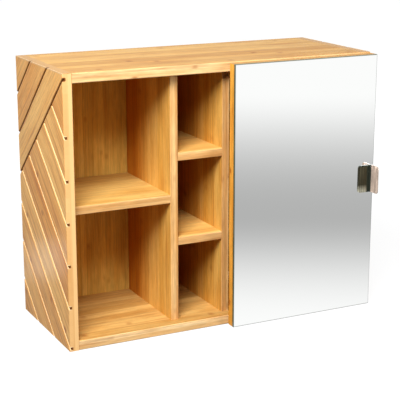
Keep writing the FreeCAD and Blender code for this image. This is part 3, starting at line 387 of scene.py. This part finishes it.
def knuckles(add, settings, point, run, across, draws):
    """Share of the knuckle marks. A knuckle crosses its stave as a soft wavy band, 17 mm long with
    its fade, at the stave's own offset, and pales towards its edges; half the staves have none."""
    gap = settings.knuckle_gap
    phase = add(MATH, {0: run, 1: 1 / gap, 2: draws[1]}, operation="MULTIPLY_ADD")
    wrapped = add(MATH, {0: phase}, operation="FRACT")
    centred = add(MATH, {0: wrapped, 1: 0.5}, operation="SUBTRACT")
    apart = add(MATH, {0: centred}, operation="ABSOLUTE")
    wave = add("ShaderNodeTexNoise", {"Vector": point, "Scale": 1 / WAVE_GRAIN, "Detail": 2.0})
    waved = add(MATH, {0: wave, 1: WAVE_REACH / gap, 2: apart}, operation="MULTIPLY_ADD")
    to_seam = add(MATH, {0: across, 1: 0.5}, operation="PINGPONG")
    ring, bulge = (add(RANGE, {"Value": value, "From Min": start, "From Max": full}, **EASED)
                   for value, start, full in ((waved, KNUCKLE_START / gap, KNUCKLE_FULL / gap),
                                              (to_seam, 0.05, 0.4)))
    swell = add(MATH, {0: ring, 1: bulge}, operation="MULTIPLY")
    marked = add(RANGE, {"Value": draws[2], "From Min": 0.5, "From Max": 1.0, "To Max": 0.8})
    return add(MATH, {0: swell, 1: marked}, operation="MULTIPLY")


def front_edge(add, settings, parts, share, groove, front, edges):
    """Fresh cut front edge, in layers that are paler than the faces: the share of a point in it
    and its tone. On a side panel it crosses the planks and shows the carrier behind them."""
    if groove:
        planks = add(RANGE, {"Value": share, "To Min": 0.2, "To Max": 0.8})
        start, full = settings.carrier - 0.5 * MM, settings.carrier + 0.5 * MM
        outer = region(add, [(groove[2], start, full)])
        share = add(MATH, {0: outer, 1: planks}, operation="MULTIPLY")
    light, dark = edges or (settings.edge_pale, settings.edge_deep)
    layers = add(MIX, {"Factor": share, "A": light, "B": dark}, **BLEND)
    cut = add(RANGE,
              {"Value": parts[Y], "From Min": front + 1.6 * MM, "From Max": front + 0.4 * MM,
               "To Max": 0.9})
    return cut, layers


def grooved(add, settings, wood, parts, groove, front):
    """Lays tones over the grooves of a side panel: fresh pale walls in the lower grooves, walls
    with painted shade along the cap and above it, a dark spot of painted shade in the notch at
    the tip of each groove on the front edge, and a painted highlight along the top arris."""
    gap, over, outward = groove
    low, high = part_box("left_side_panel")
    sunk = add(MATH, {0: -low.x, 1: outward}, operation="SUBTRACT")
    # Groove walls: pale in the lower grooves, painted shade along the cap and above it
    wall = add(MIX, {"Factor": region(add, [(over, -3.4 * MM, -3.0 * MM)]), "A": settings.fresh,
                     "B": settings.dusk}, **BLEND)
    # Limits in depth under the outer face, distance from a groove's middle, and place
    walls = [(sunk, 0.3 * MM, 1.0 * MM), (sunk, 5.0 * MM, 4.2 * MM), (gap, 2.8 * MM, 2.0 * MM)]
    # Painted shade: a dark spot in the notch where each groove meets the front edge
    tips = [(sunk, 1.2 * MM, 2.0 * MM), (sunk, 6.2 * MM, 5.2 * MM), (gap, 2.2 * MM, 1.4 * MM),
            (parts[Y], front + 4 * MM, front + 2 * MM)]
    # Painted highlight: a pale line along the top outer arris
    arris = [(sunk, 2.0 * MM, 1.2 * MM), (parts[Z], high.z - 2.0 * MM, high.z - 1.2 * MM)]
    for tone, limits in ((wall, walls), (settings.scorch, tips), (settings.edge_pale, arris)):
        wood = add(MIX, {"Factor": region(add, limits), "A": wood, "B": tone}, **BLEND)
    return wood


def laminated_bamboo(name, settings, tone, lay, seed, front=None, stave=None, ply=None,
                     edges=None, figure=1.0, rear=None, crown=None, sheen=OILED):
    """Laminated bamboo board, planed, sanded and oiled. It gives the eye staves of slightly
    different straw and honey tones, fine fibre and brown streaks along them, a reddish knuckle
    here and there, paler layers on the front edge, and a low sheen. Tone names the two tones in
    the settings. Figure is how strongly streaks, knuckles and glue lines are marked. Rear is
    where the painted shade of the rear half starts and is full, and crown the height of a
    trimmed end."""
    material, add = blank(name)
    point, parts = place(add)
    run, side, depth, groove = lay(add, point, parts)
    grain = add("ShaderNodeCombineXYZ", {"X": run, "Y": side, "Z": depth})
    stave = stave or settings.stave
    across, draws, layer = staves(add, side, depth, stave, ply or settings.ply, seed)
    share = draws[0]
    if groove:
        # The staves of one plank come from one culm and differ little
        plank = add(MATH, {0: side, 1: 1 / settings.plank}, operation="MULTIPLY")
        cell = add(MATH, {0: plank}, operation="FLOOR")
        share = add(MIX, {"Factor": OWN_DRAW, "A": drawn(add, cell, layer, seed), "B": share})
    pale, deep = (getattr(settings, f"{tone}_{end}") for end in ("pale", "deep"))
    wood = add(MIX, {"Factor": share, "A": pale, "B": deep}, **BLEND)
    if front is not None:
        cut, layers = front_edge(add, settings, parts, share, groove, front, edges)
        # Fibre and marks run over a plain board's front edge, but stop at that of a side panel
        if not groove:
            wood = add(MIX, {"Factor": cut, "A": wood, "B": layers}, **BLEND)

    def band(sizes, low, high, least, most, detail=3.0):
        """Noise with grains of these sizes, and the same taken from low..high to least..most."""
        noise = grains(add, grain, sizes, detail)
        return noise, add(RANGE, {"Value": noise, "From Min": low, "From Max": high,
                                  "To Min": least, "To Max": most})

    # Fibre bundles are about 0.5 mm wide; they are drawn 2.4 mm wide to show at this scale
    fibre, fibre_light = band((90 * MM, 2.4 * MM, 2.4 * MM), 0.3, 0.7, 0.8, 1.1)
    # Short dark dashes of cut bundles, drawn 2 mm wide for the same reason
    _, dash_light = band((16 * MM, 2 * MM, 2 * MM), 0.35, 0.65, 0.9, 1.06, 2.0)
    # Brown streaks of dense bundles, a forearm long and a few millimetres wide
    _, streak_share = band((170 * MM, 6 * MM, 6 * MM), 0.52, 0.74, 0.0, settings.streaks * figure)
    # Smoky drift of the culm wall, a hand long and a thumb wide
    _, drift_share = band((110 * MM, 22 * MM, 22 * MM), 0.42, 0.72, 0.0, 0.55, 2.0)
    marks = knuckles(add, settings, point, run, across, draws)
    knuckle_share = add(MATH, {0: marks, 1: figure}, operation="MULTIPLY")
    # Glue line between two staves, 0.2 mm wide, drawn 0.8 mm wide and faint
    seam = add(RANGE, {"Value": across, "From Max": 0.8 * MM / stave, "To Min": 1 - 0.2 * figure})
    tints = [(1.0, fibre_light), (1.0, dash_light), (streak_share, settings.streak),
             (drift_share, settings.smoke), (knuckle_share, settings.knuckle), (1.0, seam)]
    if rear:
        # Painted shade: the rear half is tinted a darker, redder brown, as the backs of the niches
        # lie in shade
        aged = add(RANGE, {"Value": parts[Y], "From Min": rear[0], "From Max": rear[1]}, **EASED)
        tints.append((aged, settings.aged))
    for tint_share, tint in tints:
        wood = add(MIX, {"Factor": tint_share, "A": wood, "B": tint}, **TINT)
    if groove:
        wood = add(MIX, {"Factor": cut, "A": wood, "B": layers}, **BLEND)
    if crown:
        # The upper end was trimmed and oiled with the top, and has its tone
        trimmed = region(add, [(parts[Z], crown - 0.6 * MM, crown - 0.2 * MM)])
        end_tone = add(MIX, {"Factor": 1.0, "A": settings.deck_deep, "B": fibre_light}, **TINT)
        wood = add(MIX, {"Factor": trimmed, "A": wood, "B": end_tone}, **BLEND)
    if groove:
        wood = grooved(add, settings, wood, parts, groove, front)

    smooth, rough, level = sheen
    roughness = add(RANGE, {"Value": fibre, "From Min": 0.25, "From Max": 0.75, "To Min": smooth,
                            "To Max": rough})
    relief = add("ShaderNodeBump", {"Height": fibre, "Strength": 0.3, "Distance": 0.2 * MM})
    return surfaced(material, add, {"Base Color": wood, "Roughness": roughness, "IOR": 1.5,
                                    "Normal": relief, "Specular IOR Level": level})


def turned_beech(settings):
    """Beech rod, turned and left raw. It gives the eye a pale matt wood with short flecks."""
    material, add = blank("turned_beech")
    point, _ = place(add)
    fleck = grains(add, point, (5 * MM, 1 * MM, 1 * MM), roughness=0.5)
    light = add(RANGE, {"Value": fleck, **NOISE_SPAN, "To Min": 0.8, "To Max": 1.05})
    wood = add(MIX, {"Factor": 1.0, "A": settings.beech, "B": light}, **TINT)
    return surfaced(material, add, {"Base Color": wood, "Roughness": 0.62, "IOR": 1.5})


def silvered_glass(settings):
    """Float glass, silvered on its back, with a ground arris. It gives the eye a clear
    reflection over the whole front and a thin dark olive line along the ground edge."""
    material, add = blank("silvered_glass")
    point, parts = place(add)
    low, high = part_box("mirror_glass")
    face = add(MATH, {0: parts[Y], 1: low.y + 0.05 * MM}, operation="LESS_THAN")
    grind = grains(add, point, (3 * MM,) * 3, detail=2.0, roughness=0.5)
    grind_light = add(RANGE, {"Value": grind, **NOISE_SPAN, "To Min": 0.8, "To Max": 1.15})
    edge = add(MIX, {"Factor": 1.0, "A": settings.glass_edge, "B": grind_light}, **TINT)
    # The silver stops a hair before the ground arris
    centred = add(VECTOR_MATH, {0: point, 1: tuple((low + high) / 2)}, operation="SUBTRACT")
    apart = add(VECTOR_MATH, {0: centred}, operation="ABSOLUTE")
    inset = add(VECTOR_MATH, {0: tuple((high - low) / 2), 1: apart}, operation="SUBTRACT")
    insets = add("ShaderNodeSeparateXYZ", {0: inset}).outputs
    nearest = add(MATH, {0: insets[X], 1: insets[Z]}, operation="MINIMUM")
    clear = region(add, [(nearest, 0.8 * MM, 1.3 * MM)])
    silver = add(MIX, {"Factor": clear, "A": settings.border, "B": settings.silver}, **BLEND)
    tint = add(MIX, {"Factor": face, "A": edge, "B": silver}, **BLEND)
    rough = add(RANGE, {"Value": face, "To Min": 0.35, "To Max": 0.012})
    return surfaced(material, add, {"Base Color": tint, "Metallic": face, "Roughness": rough,
                                    "IOR": 1.5})


def grained(name, tone, grain, spread, roughness, metallic=0.0, ior=None, depth=0.0, fades=()):
    """A solid stuff with a fine grain of its own: tone varied by noise of the given sizes in
    metres, roughness between two values, and a shallow relief. Each fade is another, fully
    metallic tone and the region that has it, as axes with where it starts and is full."""
    material, add = blank(name)
    point, parts = place(add)
    for other, limits in fades:
        share = region(add, [(parts[axis], start, full) for axis, start, full in limits])
        tone = add(MIX, {"Factor": share, "A": tone, "B": other}, **BLEND)
        metallic = add(MIX, {"Factor": share, "A": metallic, "B": 1.0})
    noise = grains(add, point, grain)
    light, rough = (add(RANGE, {"Value": noise, **NOISE_SPAN, "To Min": least, "To Max": most})
                    for least, most in ((1 - spread, 1 + spread / 2), roughness))
    toned = add(MIX, {"Factor": 1.0, "A": tone, "B": light}, **TINT)
    relief = add("ShaderNodeBump", {"Height": noise, "Strength": 0.3, "Distance": depth})
    inputs = {"Base Color": toned, "Roughness": rough, "Metallic": metallic, "Normal": relief}
    if ior:
        inputs["IOR"] = ior
    return surfaced(material, add, inputs)


def paper_floor(stage):
    """Matt coated paper. The eye sees it white with the object's shadow; the mirror sees it white,
    then a grey band, then white again; for the object it is a plain floor that bounces light."""
    material, add = blank("matt_paper_floor")
    point, parts = place(add)
    # Distance from the mirror along the line of sight
    across = add(MATH, {0: parts[X], 1: math.sin(stage.yaw)}, operation="MULTIPLY")
    out = add(MATH, {0: parts[Y], 1: -math.cos(stage.yaw), 2: across}, operation="MULTIPLY_ADD")
    front = -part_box("mirror_glass")[0].y * math.cos(stage.yaw)
    fall, rise = (add(RANGE, {"Value": out, "From Min": front + start,
                              "From Max": front + stage.sweep_near}, **EASED)
                  for start in (0.0, stage.sweep_far))
    share = add(MATH, {0: fall, 1: rise}, operation="MULTIPLY")
    tone = add(MIX, {"Factor": share, "A": WHITE, "B": stage.sweep}, **BLEND)
    mirrored = add("ShaderNodeEmission", {"Color": tone})
    away = add(VECTOR_MATH, {0: point}, operation="LENGTH")
    level = add(RANGE, {"Value": away, "From Min": stage.haze_near, "From Max": stage.haze_far,
                        "To Min": stage.haze}, **EASED)
    glow = add("ShaderNodeEmission", {"Color": WHITE, "Strength": level})
    faint = add("ShaderNodeBsdfDiffuse", {"Color": (*[stage.shadow] * 3, 1)})
    seen = add("ShaderNodeAddShader", {0: faint, 1: glow})
    straight_on, glossy = sight(add)
    bounce = add("ShaderNodeBsdfDiffuse", {"Color": stage.floor})
    plain = add("ShaderNodeMixShader", {0: straight_on, 1: bounce, 2: seen})
    surface = add("ShaderNodeMixShader", {0: glossy, 1: plain, 2: mirrored})
    add("ShaderNodeOutputMaterial", {"Surface": surface})
    material.cycles.emission_sampling = "NONE"
    return material


def dress(names, material):
    """Gives CAD nodes a finish through their material slots."""
    for name in names:
        slots = NODES[name].data.materials
        slots.clear()
        slots.append(material)


def piece(name, points, faces, material, body, node):
    """Makes a mesh piece that stands for a CAD node and rides on a body."""
    mesh = bpy.data.meshes.new(name)
    mesh.from_pydata(points.tolist(), [], faces)
    mesh.validate()
    mesh.polygons.foreach_set("use_smooth", np.ones(len(mesh.polygons), bool))
    mesh.set_sharp_from_angle(angle=CREASE)
    mesh.materials.append(material)
    made = bpy.data.objects.new(name, mesh)
    bpy.context.scene.collection.objects.link(made)
    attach(made, body)
    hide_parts(node)
    return made


def turned(profile, centre, axis):
    """Form of revolution. Point (r, h) of the profile goes to centre + h * axis +
    r * (cos a * u + sin a * v), with u and v square to the axis and a over a full turn.
    The profile starts and ends on the axis, and each end is one point."""
    axis = np.array(axis, float)
    side = np.roll(axis, 1)
    angle = np.linspace(0, 2 * np.pi, TURN_STEPS, endpoint=False)[:, None]
    ring = np.cos(angle) * side + np.sin(angle) * np.cross(axis, side)
    radius, rise = np.array(profile, float).T[:, :, None, None]
    body = np.array(centre) + rise[1:-1] * axis + radius[1:-1] * ring
    ends = np.array(centre) + rise[[0, -1], 0] * axis
    points = np.vstack([ends[:1], body.reshape(-1, 3), ends[1:]])
    rows = np.arange(1, len(points) - 1).reshape(-1, TURN_STEPS)
    after = np.roll(rows, -1, axis=1)
    quads = np.stack([rows[:-1], after[:-1], after[1:], rows[1:]], -1).reshape(-1, 4)
    foot = np.stack([after[0], rows[0], np.zeros(TURN_STEPS, int)], -1)
    tip = np.stack([rows[-1], after[-1], np.full(TURN_STEPS, len(points) - 1)], -1)
    return points, quads.tolist() + foot.tolist() + tip.tolist()


def dome(radius, rise):
    """Profile of a domed button. From a foot of 0.96 * radius it goes to radius, and on along
    (radius * cos(a) ** 0.6, rise * (0.25 + 0.75 * sin(a))), with a over a quarter turn."""
    angle = np.linspace(0, np.pi / 2, DOME_STEPS)
    curve = np.stack([radius * np.cos(angle) ** 0.6, rise * (0.25 + 0.75 * np.sin(angle))], -1)
    return np.vstack([[0, 0], [radius * 0.96, 0], curve[:-1], [0, rise]])


def joined(forms):
    """Several forms as one list of points and faces."""
    starts = np.cumsum([0] + [len(points) for points, _ in forms[:-1]])
    faces = [[start + i for i in face] for start, (_, form) in zip(starts, forms) for face in form]
    return np.vstack([points for points, _ in forms]), faces


def bent_sheet(low, high, glass, plate, bend, corner):
    """Sheet bent to an angle. Its middle line runs along x, turns through a quarter circle
    and runs along -y. A point of the sheet is line(s) + or - half the plate along the line's
    normal, at a height of middle + t * half(s), with t from -1 to 1; half(s) drops along a
    quarter circle at both free ends, which rounds the four corners."""
    turn, level = bend + plate / 2, glass - plate / 2
    run, reach = high.x - low.x - plate / 2 - turn, level - low.y - turn
    rounding = corner * (1 - np.cos(np.linspace(0, np.pi / 2, CORNER_STEPS)))
    arc = np.linspace(0, np.pi / 2, BEND_STEPS)[1:]
    first, last = np.append(rounding, run), reach - rounding[::-1]
    flange = np.stack([low.x + first, np.full_like(first, level)], -1)
    bow = np.stack([low.x + run + turn * np.sin(arc), level - turn * (1 - np.cos(arc))], -1)
    tab = np.stack([np.full_like(last, high.x - plate / 2), level - turn - last], -1)
    line = np.vstack([flange, bow, tab])
    angle = np.concatenate([np.zeros(len(first)), arc, np.full(len(last), np.pi / 2)])
    normal = np.stack([-np.sin(angle), -np.cos(angle)], -1)
    along = np.append(0, np.cumsum(np.linalg.norm(np.diff(line, axis=0), axis=1)))
    inward = np.clip(corner - np.minimum(along, along[-1] - along), 0, corner)
    half = (high.z - low.z) / 2 - corner + np.sqrt(corner ** 2 - inward ** 2)
    height = (low.z + high.z) / 2 + half[:, None] * np.linspace(-1, 1, HEIGHT_STEPS)
    shell = [np.dstack([np.broadcast_to((line + side * plate / 2 * normal)[:, None, :],
                                        height.shape + (2,)), height]) for side in (1, -1)]
    loop = np.concatenate([shell[0], shell[1][:, ::-1]], axis=1)
    rows = np.arange(loop.shape[0] * loop.shape[1]).reshape(loop.shape[:2])
    after = np.roll(rows, -1, axis=1)
    skin = np.stack([rows[:-1], rows[1:], after[1:], after[:-1]], -1).reshape(-1, 4)
    caps = []
    for row, order in ((rows[0], 1), (rows[-1], -1)):
        front, back = row[:HEIGHT_STEPS], row[HEIGHT_STEPS:][::-1]
        caps += np.stack([front[:-1], front[1:], back[1:], back[:-1]], -1)[:, ::order].tolist()
    return loop.reshape(-1, 3), skin.tolist() + caps


class CABINET_OT_side_panels(bpy.types.Operator):
    """Finish the two grooved side panels"""

    bl_idname = "cabinet.side_panels"
    bl_label = "Side panels"

    def execute(self, context):
        bamboo = context.scene.cabinet_bamboo
        low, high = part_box("left_side_panel")
        dress(["left_side_panel", "right_side_panel"],
              laminated_bamboo("oiled_bamboo_side", bamboo, "side", chevron(bamboo, low.y),
                               seed=12.0, front=low.y, stave=bamboo.plank / 3,
                               ply=bamboo.plank_ply, crown=high.z, sheen=RUBBED))
        return {"FINISHED"}


class CABINET_OT_decks(bpy.types.Operator):
    """Finish top and bottom"""

    bl_idname = "cabinet.decks"
    bl_label = "Top and bottom"

    def execute(self, context):
        bamboo = context.scene.cabinet_bamboo
        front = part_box("top_panel")[0].y
        dress(["top_panel"],
              laminated_bamboo("oiled_bamboo_top", bamboo, "deck", straight(X, Y, Z), seed=9.0,
                               front=front, figure=0.9, edges=(bamboo.rim, bamboo.edge_pale)))
        # The bottom's front edge is paler: partly its own layers, partly a painted highlight where
        # the lamps reach the low edge less
        dress(["bottom_panel"],
              laminated_bamboo("oiled_bamboo_bottom", bamboo, "deck", straight(X, Y, Z), seed=5.0,
                               front=front, figure=0.7, edges=(bamboo.fresh, bamboo.edge_pale)))
        return {"FINISHED"}


class CABINET_OT_dividers(bpy.types.Operator):
    """Finish the upright dividers"""

    bl_idname = "cabinet.dividers"
    bl_label = "Dividers"

    def execute(self, context):
        bamboo = context.scene.cabinet_bamboo
        # The dividers get painted shade on their rear half
        dress(["left_divider", "right_divider"],
              laminated_bamboo("oiled_bamboo_divider", bamboo, "wall", straight(Z, Y, X),
                               seed=11.0, front=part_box("left_divider")[0].y, figure=0.6,
                               rear=(-25 * MM, 55 * MM)))
        return {"FINISHED"}


class CABINET_OT_shelves(bpy.types.Operator):
    """Finish the fixed shelves and the loose shelf"""

    bl_idname = "cabinet.shelves"
    bl_label = "Shelves"

    def execute(self, context):
        bamboo = context.scene.cabinet_bamboo
        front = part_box("left_shelf")[0].y
        dress(["left_shelf", "cabinet_shelf"],
              laminated_bamboo("oiled_bamboo_shelf", bamboo, "shelf", straight(X, Y, Z),
                               seed=17.0, front=front, figure=0.5))
        dress(["middle_shelf_lower", "middle_shelf_upper"],
              laminated_bamboo("oiled_bamboo_pale_shelf", bamboo, "short", straight(X, Y, Z),
                               seed=19.0, front=front, figure=0.7))
        return {"FINISHED"}


class CABINET_OT_back(bpy.types.Operator):
    """Finish the thin back board and the hanging rail"""

    bl_idname = "cabinet.back"
    bl_label = "Back and rail"

    def execute(self, context):
        bamboo = context.scene.cabinet_bamboo
        dress(["back_panel"],
              laminated_bamboo("bamboo_veneer_back", bamboo, "back", straight(Z, X, Y),
                               seed=23.0, stave=bamboo.slat, figure=0.5))
        dress(["hanging_rail"],
              laminated_bamboo("bamboo_veneer_rail", bamboo, "back", straight(X, Z, Y),
                               seed=29.0, stave=bamboo.slat, figure=0.5))
        return {"FINISHED"}


class CABINET_OT_dowels(bpy.types.Operator):
    """Finish the dowels of the joints"""

    bl_idname = "cabinet.dowels"
    bl_label = "Dowels"

    def execute(self, context):
        dress(["corner_dowels", "divider_dowels", "shelf_dowels"],
              turned_beech(context.scene.cabinet_bamboo))
        return {"FINISHED"}


class CABINET_OT_door(bpy.types.Operator):
    """Finish the door's core and the tape on it"""

    bl_idname = "cabinet.door"
    bl_label = "Door core and tape"

    def execute(self, context):
        bamboo, door = context.scene.cabinet_bamboo, context.scene.cabinet_door
        dress(["door_panel"],
              laminated_bamboo("oiled_bamboo_door", bamboo, "door", straight(Z, X, Y), seed=31.0,
                               crown=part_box("door_panel")[1].z))
        # Closed-cell foam tape: matt, finely pitted
        dress(["mirror_tape"],
              grained("foam_tape", door.foam, grain=(0.6 * MM,) * 3, spread=0.25,
                      roughness=(0.8, 0.95), ior=1.45, depth=0.1 * MM))
        return {"FINISHED"}


class CABINET_OT_mirror(bpy.types.Operator):
    """Finish the mirror glass"""

    bl_idname = "cabinet.mirror"
    bl_label = "Mirror"

    def execute(self, context):
        dress(["mirror_glass"], silvered_glass(context.scene.cabinet_door))
        return {"FINISHED"}


class CABINET_OT_handle(bpy.types.Operator):
    """Make the bent handle of brushed nickel, with its studs"""

    bl_idname = "cabinet.handle"
    bl_label = "Handle"

    def execute(self, context):
        door = context.scene.cabinet_door
        low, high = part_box("door_handle")
        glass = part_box("mirror_glass")[0].y
        sheet = bent_sheet(low, high, glass, door.plate, door.bend, door.corner)
        # The studs start inside the plate, so that the two run into each other
        radius, foot, end = door.stud / 2, -0.5 * MM, high.y - glass
        stud_x, middle = (low.x + high.x - door.plate) / 2, (low.z + high.z) / 2
        studs = [turned([(0, foot), (radius, foot), (radius, end), (0, end)],
                        (stud_x, glass, middle + offset), (0, 1, 0))
                 for offset in (-door.stud_pitch / 2, door.stud_pitch / 2)]
        points, faces = joined([sheet, *studs])
        made = piece("handle", points, faces, self.nickel(door, low, high, glass), "door",
                     "door_handle")
        rim = made.modifiers.new("rim", "BEVEL")
        rim.width, rim.segments, rim.angle_limit = 0.35 * MM, 2, math.radians(40)
        return {"FINISHED"}

    def nickel(self, door, low, high, glass):
        """Nickel plate, brushed upright. It gives the eye a pale satin tab and a flange with
        painted shade, darkest along the bend and the upper end, and a painted pale reflection at
        the lower end. Brush lines of 0.1 mm are drawn 3 mm wide."""
        bent = glass - door.plate
        flange = (Y, bent - 1.5 * door.bend, bent - 0.5 * door.bend)
        fold, beside = high.x - door.fold, high.x - door.fold - 2 * MM
        upper_end = (Z, high.z - 2.5 * MM, high.z - 1.5 * MM)
        lower_end = (Z, low.z + door.worn, low.z + door.worn / 4)
        # Painted shade on the flange, darkest along the bend and at the upper end, and a painted
        # reflection at its lower end
        fades = [(door.nickel_dark, [flange]),
                 (door.nickel_fold, [flange, (X, beside, fold)]),
                 (door.nickel_fold, [flange, upper_end]),
                 (door.nickel_worn, [flange, (X, fold, beside), lower_end])]
        return grained("brushed_nickel", door.nickel, grain=(3 * MM, 12 * MM, 90 * MM),
                       spread=0.8, roughness=(0.3, 0.5), metallic=0.35, depth=0.05 * MM,
                       fades=fades)


class CABINET_OT_bumpers(bpy.types.Operator):
    """Make the two domed bumpers on the door's back"""

    bl_idname = "cabinet.bumpers"
    bl_label = "Bumpers"

    def execute(self, context):
        low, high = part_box("door_bumpers")
        radius = (high.x - low.x) / 2
        profile = dome(radius, high.y - low.y)
        points, faces = joined([turned(profile, ((low.x + high.x) / 2, low.y, z), (0, 1, 0))
                                for z in (low.z + radius, high.z - radius)])
        # Cast polyurethane: clear, soft and slightly cloudy
        clear = grained("cast_polyurethane", context.scene.cabinet_door.bumper,
                        grain=(4 * MM,) * 3, spread=0.08, roughness=(0.2, 0.3), ior=1.5,
                        depth=0.02 * MM)
        piece("bumpers", points, faces, clear, "door", "door_bumpers")
        return {"FINISHED"}


class CABINET_OT_fittings(bpy.types.Operator):
    """Finish hinges, screws, pins, plates and the magnetic catch"""

    bl_idname = "cabinet.fittings"
    bl_label = "Fittings"

    def execute(self, context):
        fittings = context.scene.cabinet_fittings
        # Pressed steel, barrel plated with nickel: bright, with a fine cloudy roughness
        steel = grained("nickel_plated_steel", fittings.steel, grain=(1.6 * MM,) * 3, spread=0.12,
                        roughness=(0.2, 0.34), metallic=1.0, depth=0.02 * MM)
        # ABS moulded in an eroded tool: white, even, with a fine matt grain
        plastic = grained("moulded_abs", fittings.plastic, grain=(0.8 * MM,) * 3, spread=0.05,
                          roughness=(0.45, 0.6), ior=1.53, depth=0.03 * MM)
        # Ferrite, pressed and sintered: near black, dry and gritty
        magnet = grained("sintered_ferrite", fittings.ferrite, grain=(0.5 * MM,) * 3, spread=0.3,
                         roughness=(0.6, 0.8), ior=1.6, depth=0.05 * MM)
        hinges = [f"{end}_hinge_{part}" for end in ("lower", "upper")
                  for part in ("cup", "pin", "arm", "plate")]
        screws = [f"{use}_screws" for use in ("hinge_cup", "hinge_plate", "hinge_arm", "handle",
                                              "strike", "catch", "hanger")]
        plates = ["strike_plate", "catch_poles", "shelf_pins", "left_hanger_plate",
                  "right_hanger_plate"]
        dress(hinges + screws + plates, steel)
        dress(["catch_body"], plastic)
        dress(["catch_magnet"], magnet)
        return {"FINISHED"}


class CABINET_OT_stage(bpy.types.Operator):
    """Set the floor, the light and the camera"""

    bl_idname = "cabinet.stage"
    bl_label = "Studio"

    def execute(self, context):
        scene, stage = context.scene, context.scene.cabinet_stage
        scene.view_settings.view_transform = "Standard"
        self.lay_floor(scene, stage)
        self.set_world(scene, stage)
        self.hang_lamps(scene, stage)
        self.set_camera(scene, stage)
        return {"FINISHED"}

    def lay_floor(self, scene, stage):
        """A flat square floor under the object."""
        corners = stage.reach * np.array([(-1, -1, 0), (1, -1, 0), (1, 1, 0), (-1, 1, 0)], float)
        mesh = bpy.data.meshes.new("floor")
        mesh.from_pydata(corners.tolist(), [], [[0, 1, 2, 3]])
        mesh.materials.append(paper_floor(stage))
        floor = bpy.data.objects.new("floor", mesh)
        scene.collection.objects.link(floor)

    def set_world(self, scene, stage):
        """White round the object for the eye and for reflections, and a low even light."""
        scene.world = bpy.data.worlds.new("studio")
        add = emptied(scene.world)
        straight_on, glossy = sight(add)
        white = add(MATH, {0: straight_on, 1: glossy}, operation="MAXIMUM")
        strength = add(RANGE, {"Value": white, "To Min": stage.ambient})
        sky = add("ShaderNodeBackground", {"Color": WHITE, "Strength": strength})
        add("ShaderNodeOutputWorld", {"Surface": sky})

    def hang_lamps(self, scene, stage):
        """Square lamps that face the object, and the card low beside it."""
        middle = (CAD_BOX[0] + CAD_BOX[1]) / 2
        for name, where, size, power in (
                ("key", stage.key_place, stage.lamp_size, stage.key_power),
                ("fill", stage.fill_place, stage.lamp_size, stage.fill_power),
                ("back_light", stage.back_place, stage.lamp_size, stage.back_power),
                ("card", stage.card_place, stage.card_size, stage.card_power)):
            light = bpy.data.lights.new(name, "AREA")
            light.size, light.energy = size, power
            lamp = bpy.data.objects.new(name, light)
            lamp.location = where
            lamp.rotation_euler = (middle - lamp.location).to_track_quat("-Z", "Y").to_euler()
            lamp.visible_glossy = name != "back_light"
            # Only the sheen of the side panel shows the card
            lamp.visible_diffuse = lamp.visible_camera = name != "card"
            scene.collection.objects.link(lamp)

    def set_camera(self, scene, stage):
        """The camera of the main view."""
        camera = bpy.data.objects.new("camera", bpy.data.cameras.new("camera"))
        camera.data.lens = stage.lens
        camera.location = stage.eye
        camera.rotation_euler = (math.pi / 2 - stage.dip, 0.0, -stage.yaw)
        scene.collection.objects.link(camera)
        scene.camera = camera


SETTINGS = {
    "cabinet_bamboo": BambooSettings,
    "cabinet_door": DoorSettings,
    "cabinet_fittings": FittingSettings,
    "cabinet_stage": StageSettings,
}
MAKERS = (
    CABINET_OT_side_panels, CABINET_OT_decks, CABINET_OT_dividers, CABINET_OT_shelves,
    CABINET_OT_back, CABINET_OT_dowels, CABINET_OT_door, CABINET_OT_mirror, CABINET_OT_handle,
    CABINET_OT_bumpers, CABINET_OT_fittings, CABINET_OT_stage,
)


class CABINET_PT_panel(bpy.types.Panel):
    """Lists the steps that finish the cabinet, and their settings"""

    bl_idname = "CABINET_PT_panel"
    bl_label = "Mirror cabinet"
    bl_space_type = "VIEW_3D"
    bl_region_type = "UI"
    bl_category = "Cabinet"

    def draw(self, context):
        for maker in MAKERS:
            self.layout.operator(maker.bl_idname)
        for name in SETTINGS:
            settings = getattr(context.scene, name)
            for field in settings.__annotations__:
                self.layout.prop(settings, field)


def register():
    """Registers settings, operators and panel."""
    for kind in (*SETTINGS.values(), *MAKERS, CABINET_PT_panel):
        bpy.utils.register_class(kind)
    for name, kind in SETTINGS.items():
        setattr(bpy.types.Scene, name, PointerProperty(type=kind))


def unregister():
    """Takes them out again, in reverse."""
    for name in SETTINGS:
        delattr(bpy.types.Scene, name)
    for kind in reversed((*SETTINGS.values(), *MAKERS, CABINET_PT_panel)):
        bpy.utils.unregister_class(kind)


def main():
    """Finishes the cabinet and sets the studio."""
    register()
    bpy.ops.cabinet.side_panels()
    bpy.ops.cabinet.decks()
    bpy.ops.cabinet.dividers()
    bpy.ops.cabinet.shelves()
    bpy.ops.cabinet.back()
    bpy.ops.cabinet.dowels()
    bpy.ops.cabinet.door()
    bpy.ops.cabinet.mirror()
    bpy.ops.cabinet.handle()
    bpy.ops.cabinet.bumpers()
    bpy.ops.cabinet.fittings()
    bpy.ops.cabinet.stage()


if __name__ == "__main__":
    main()
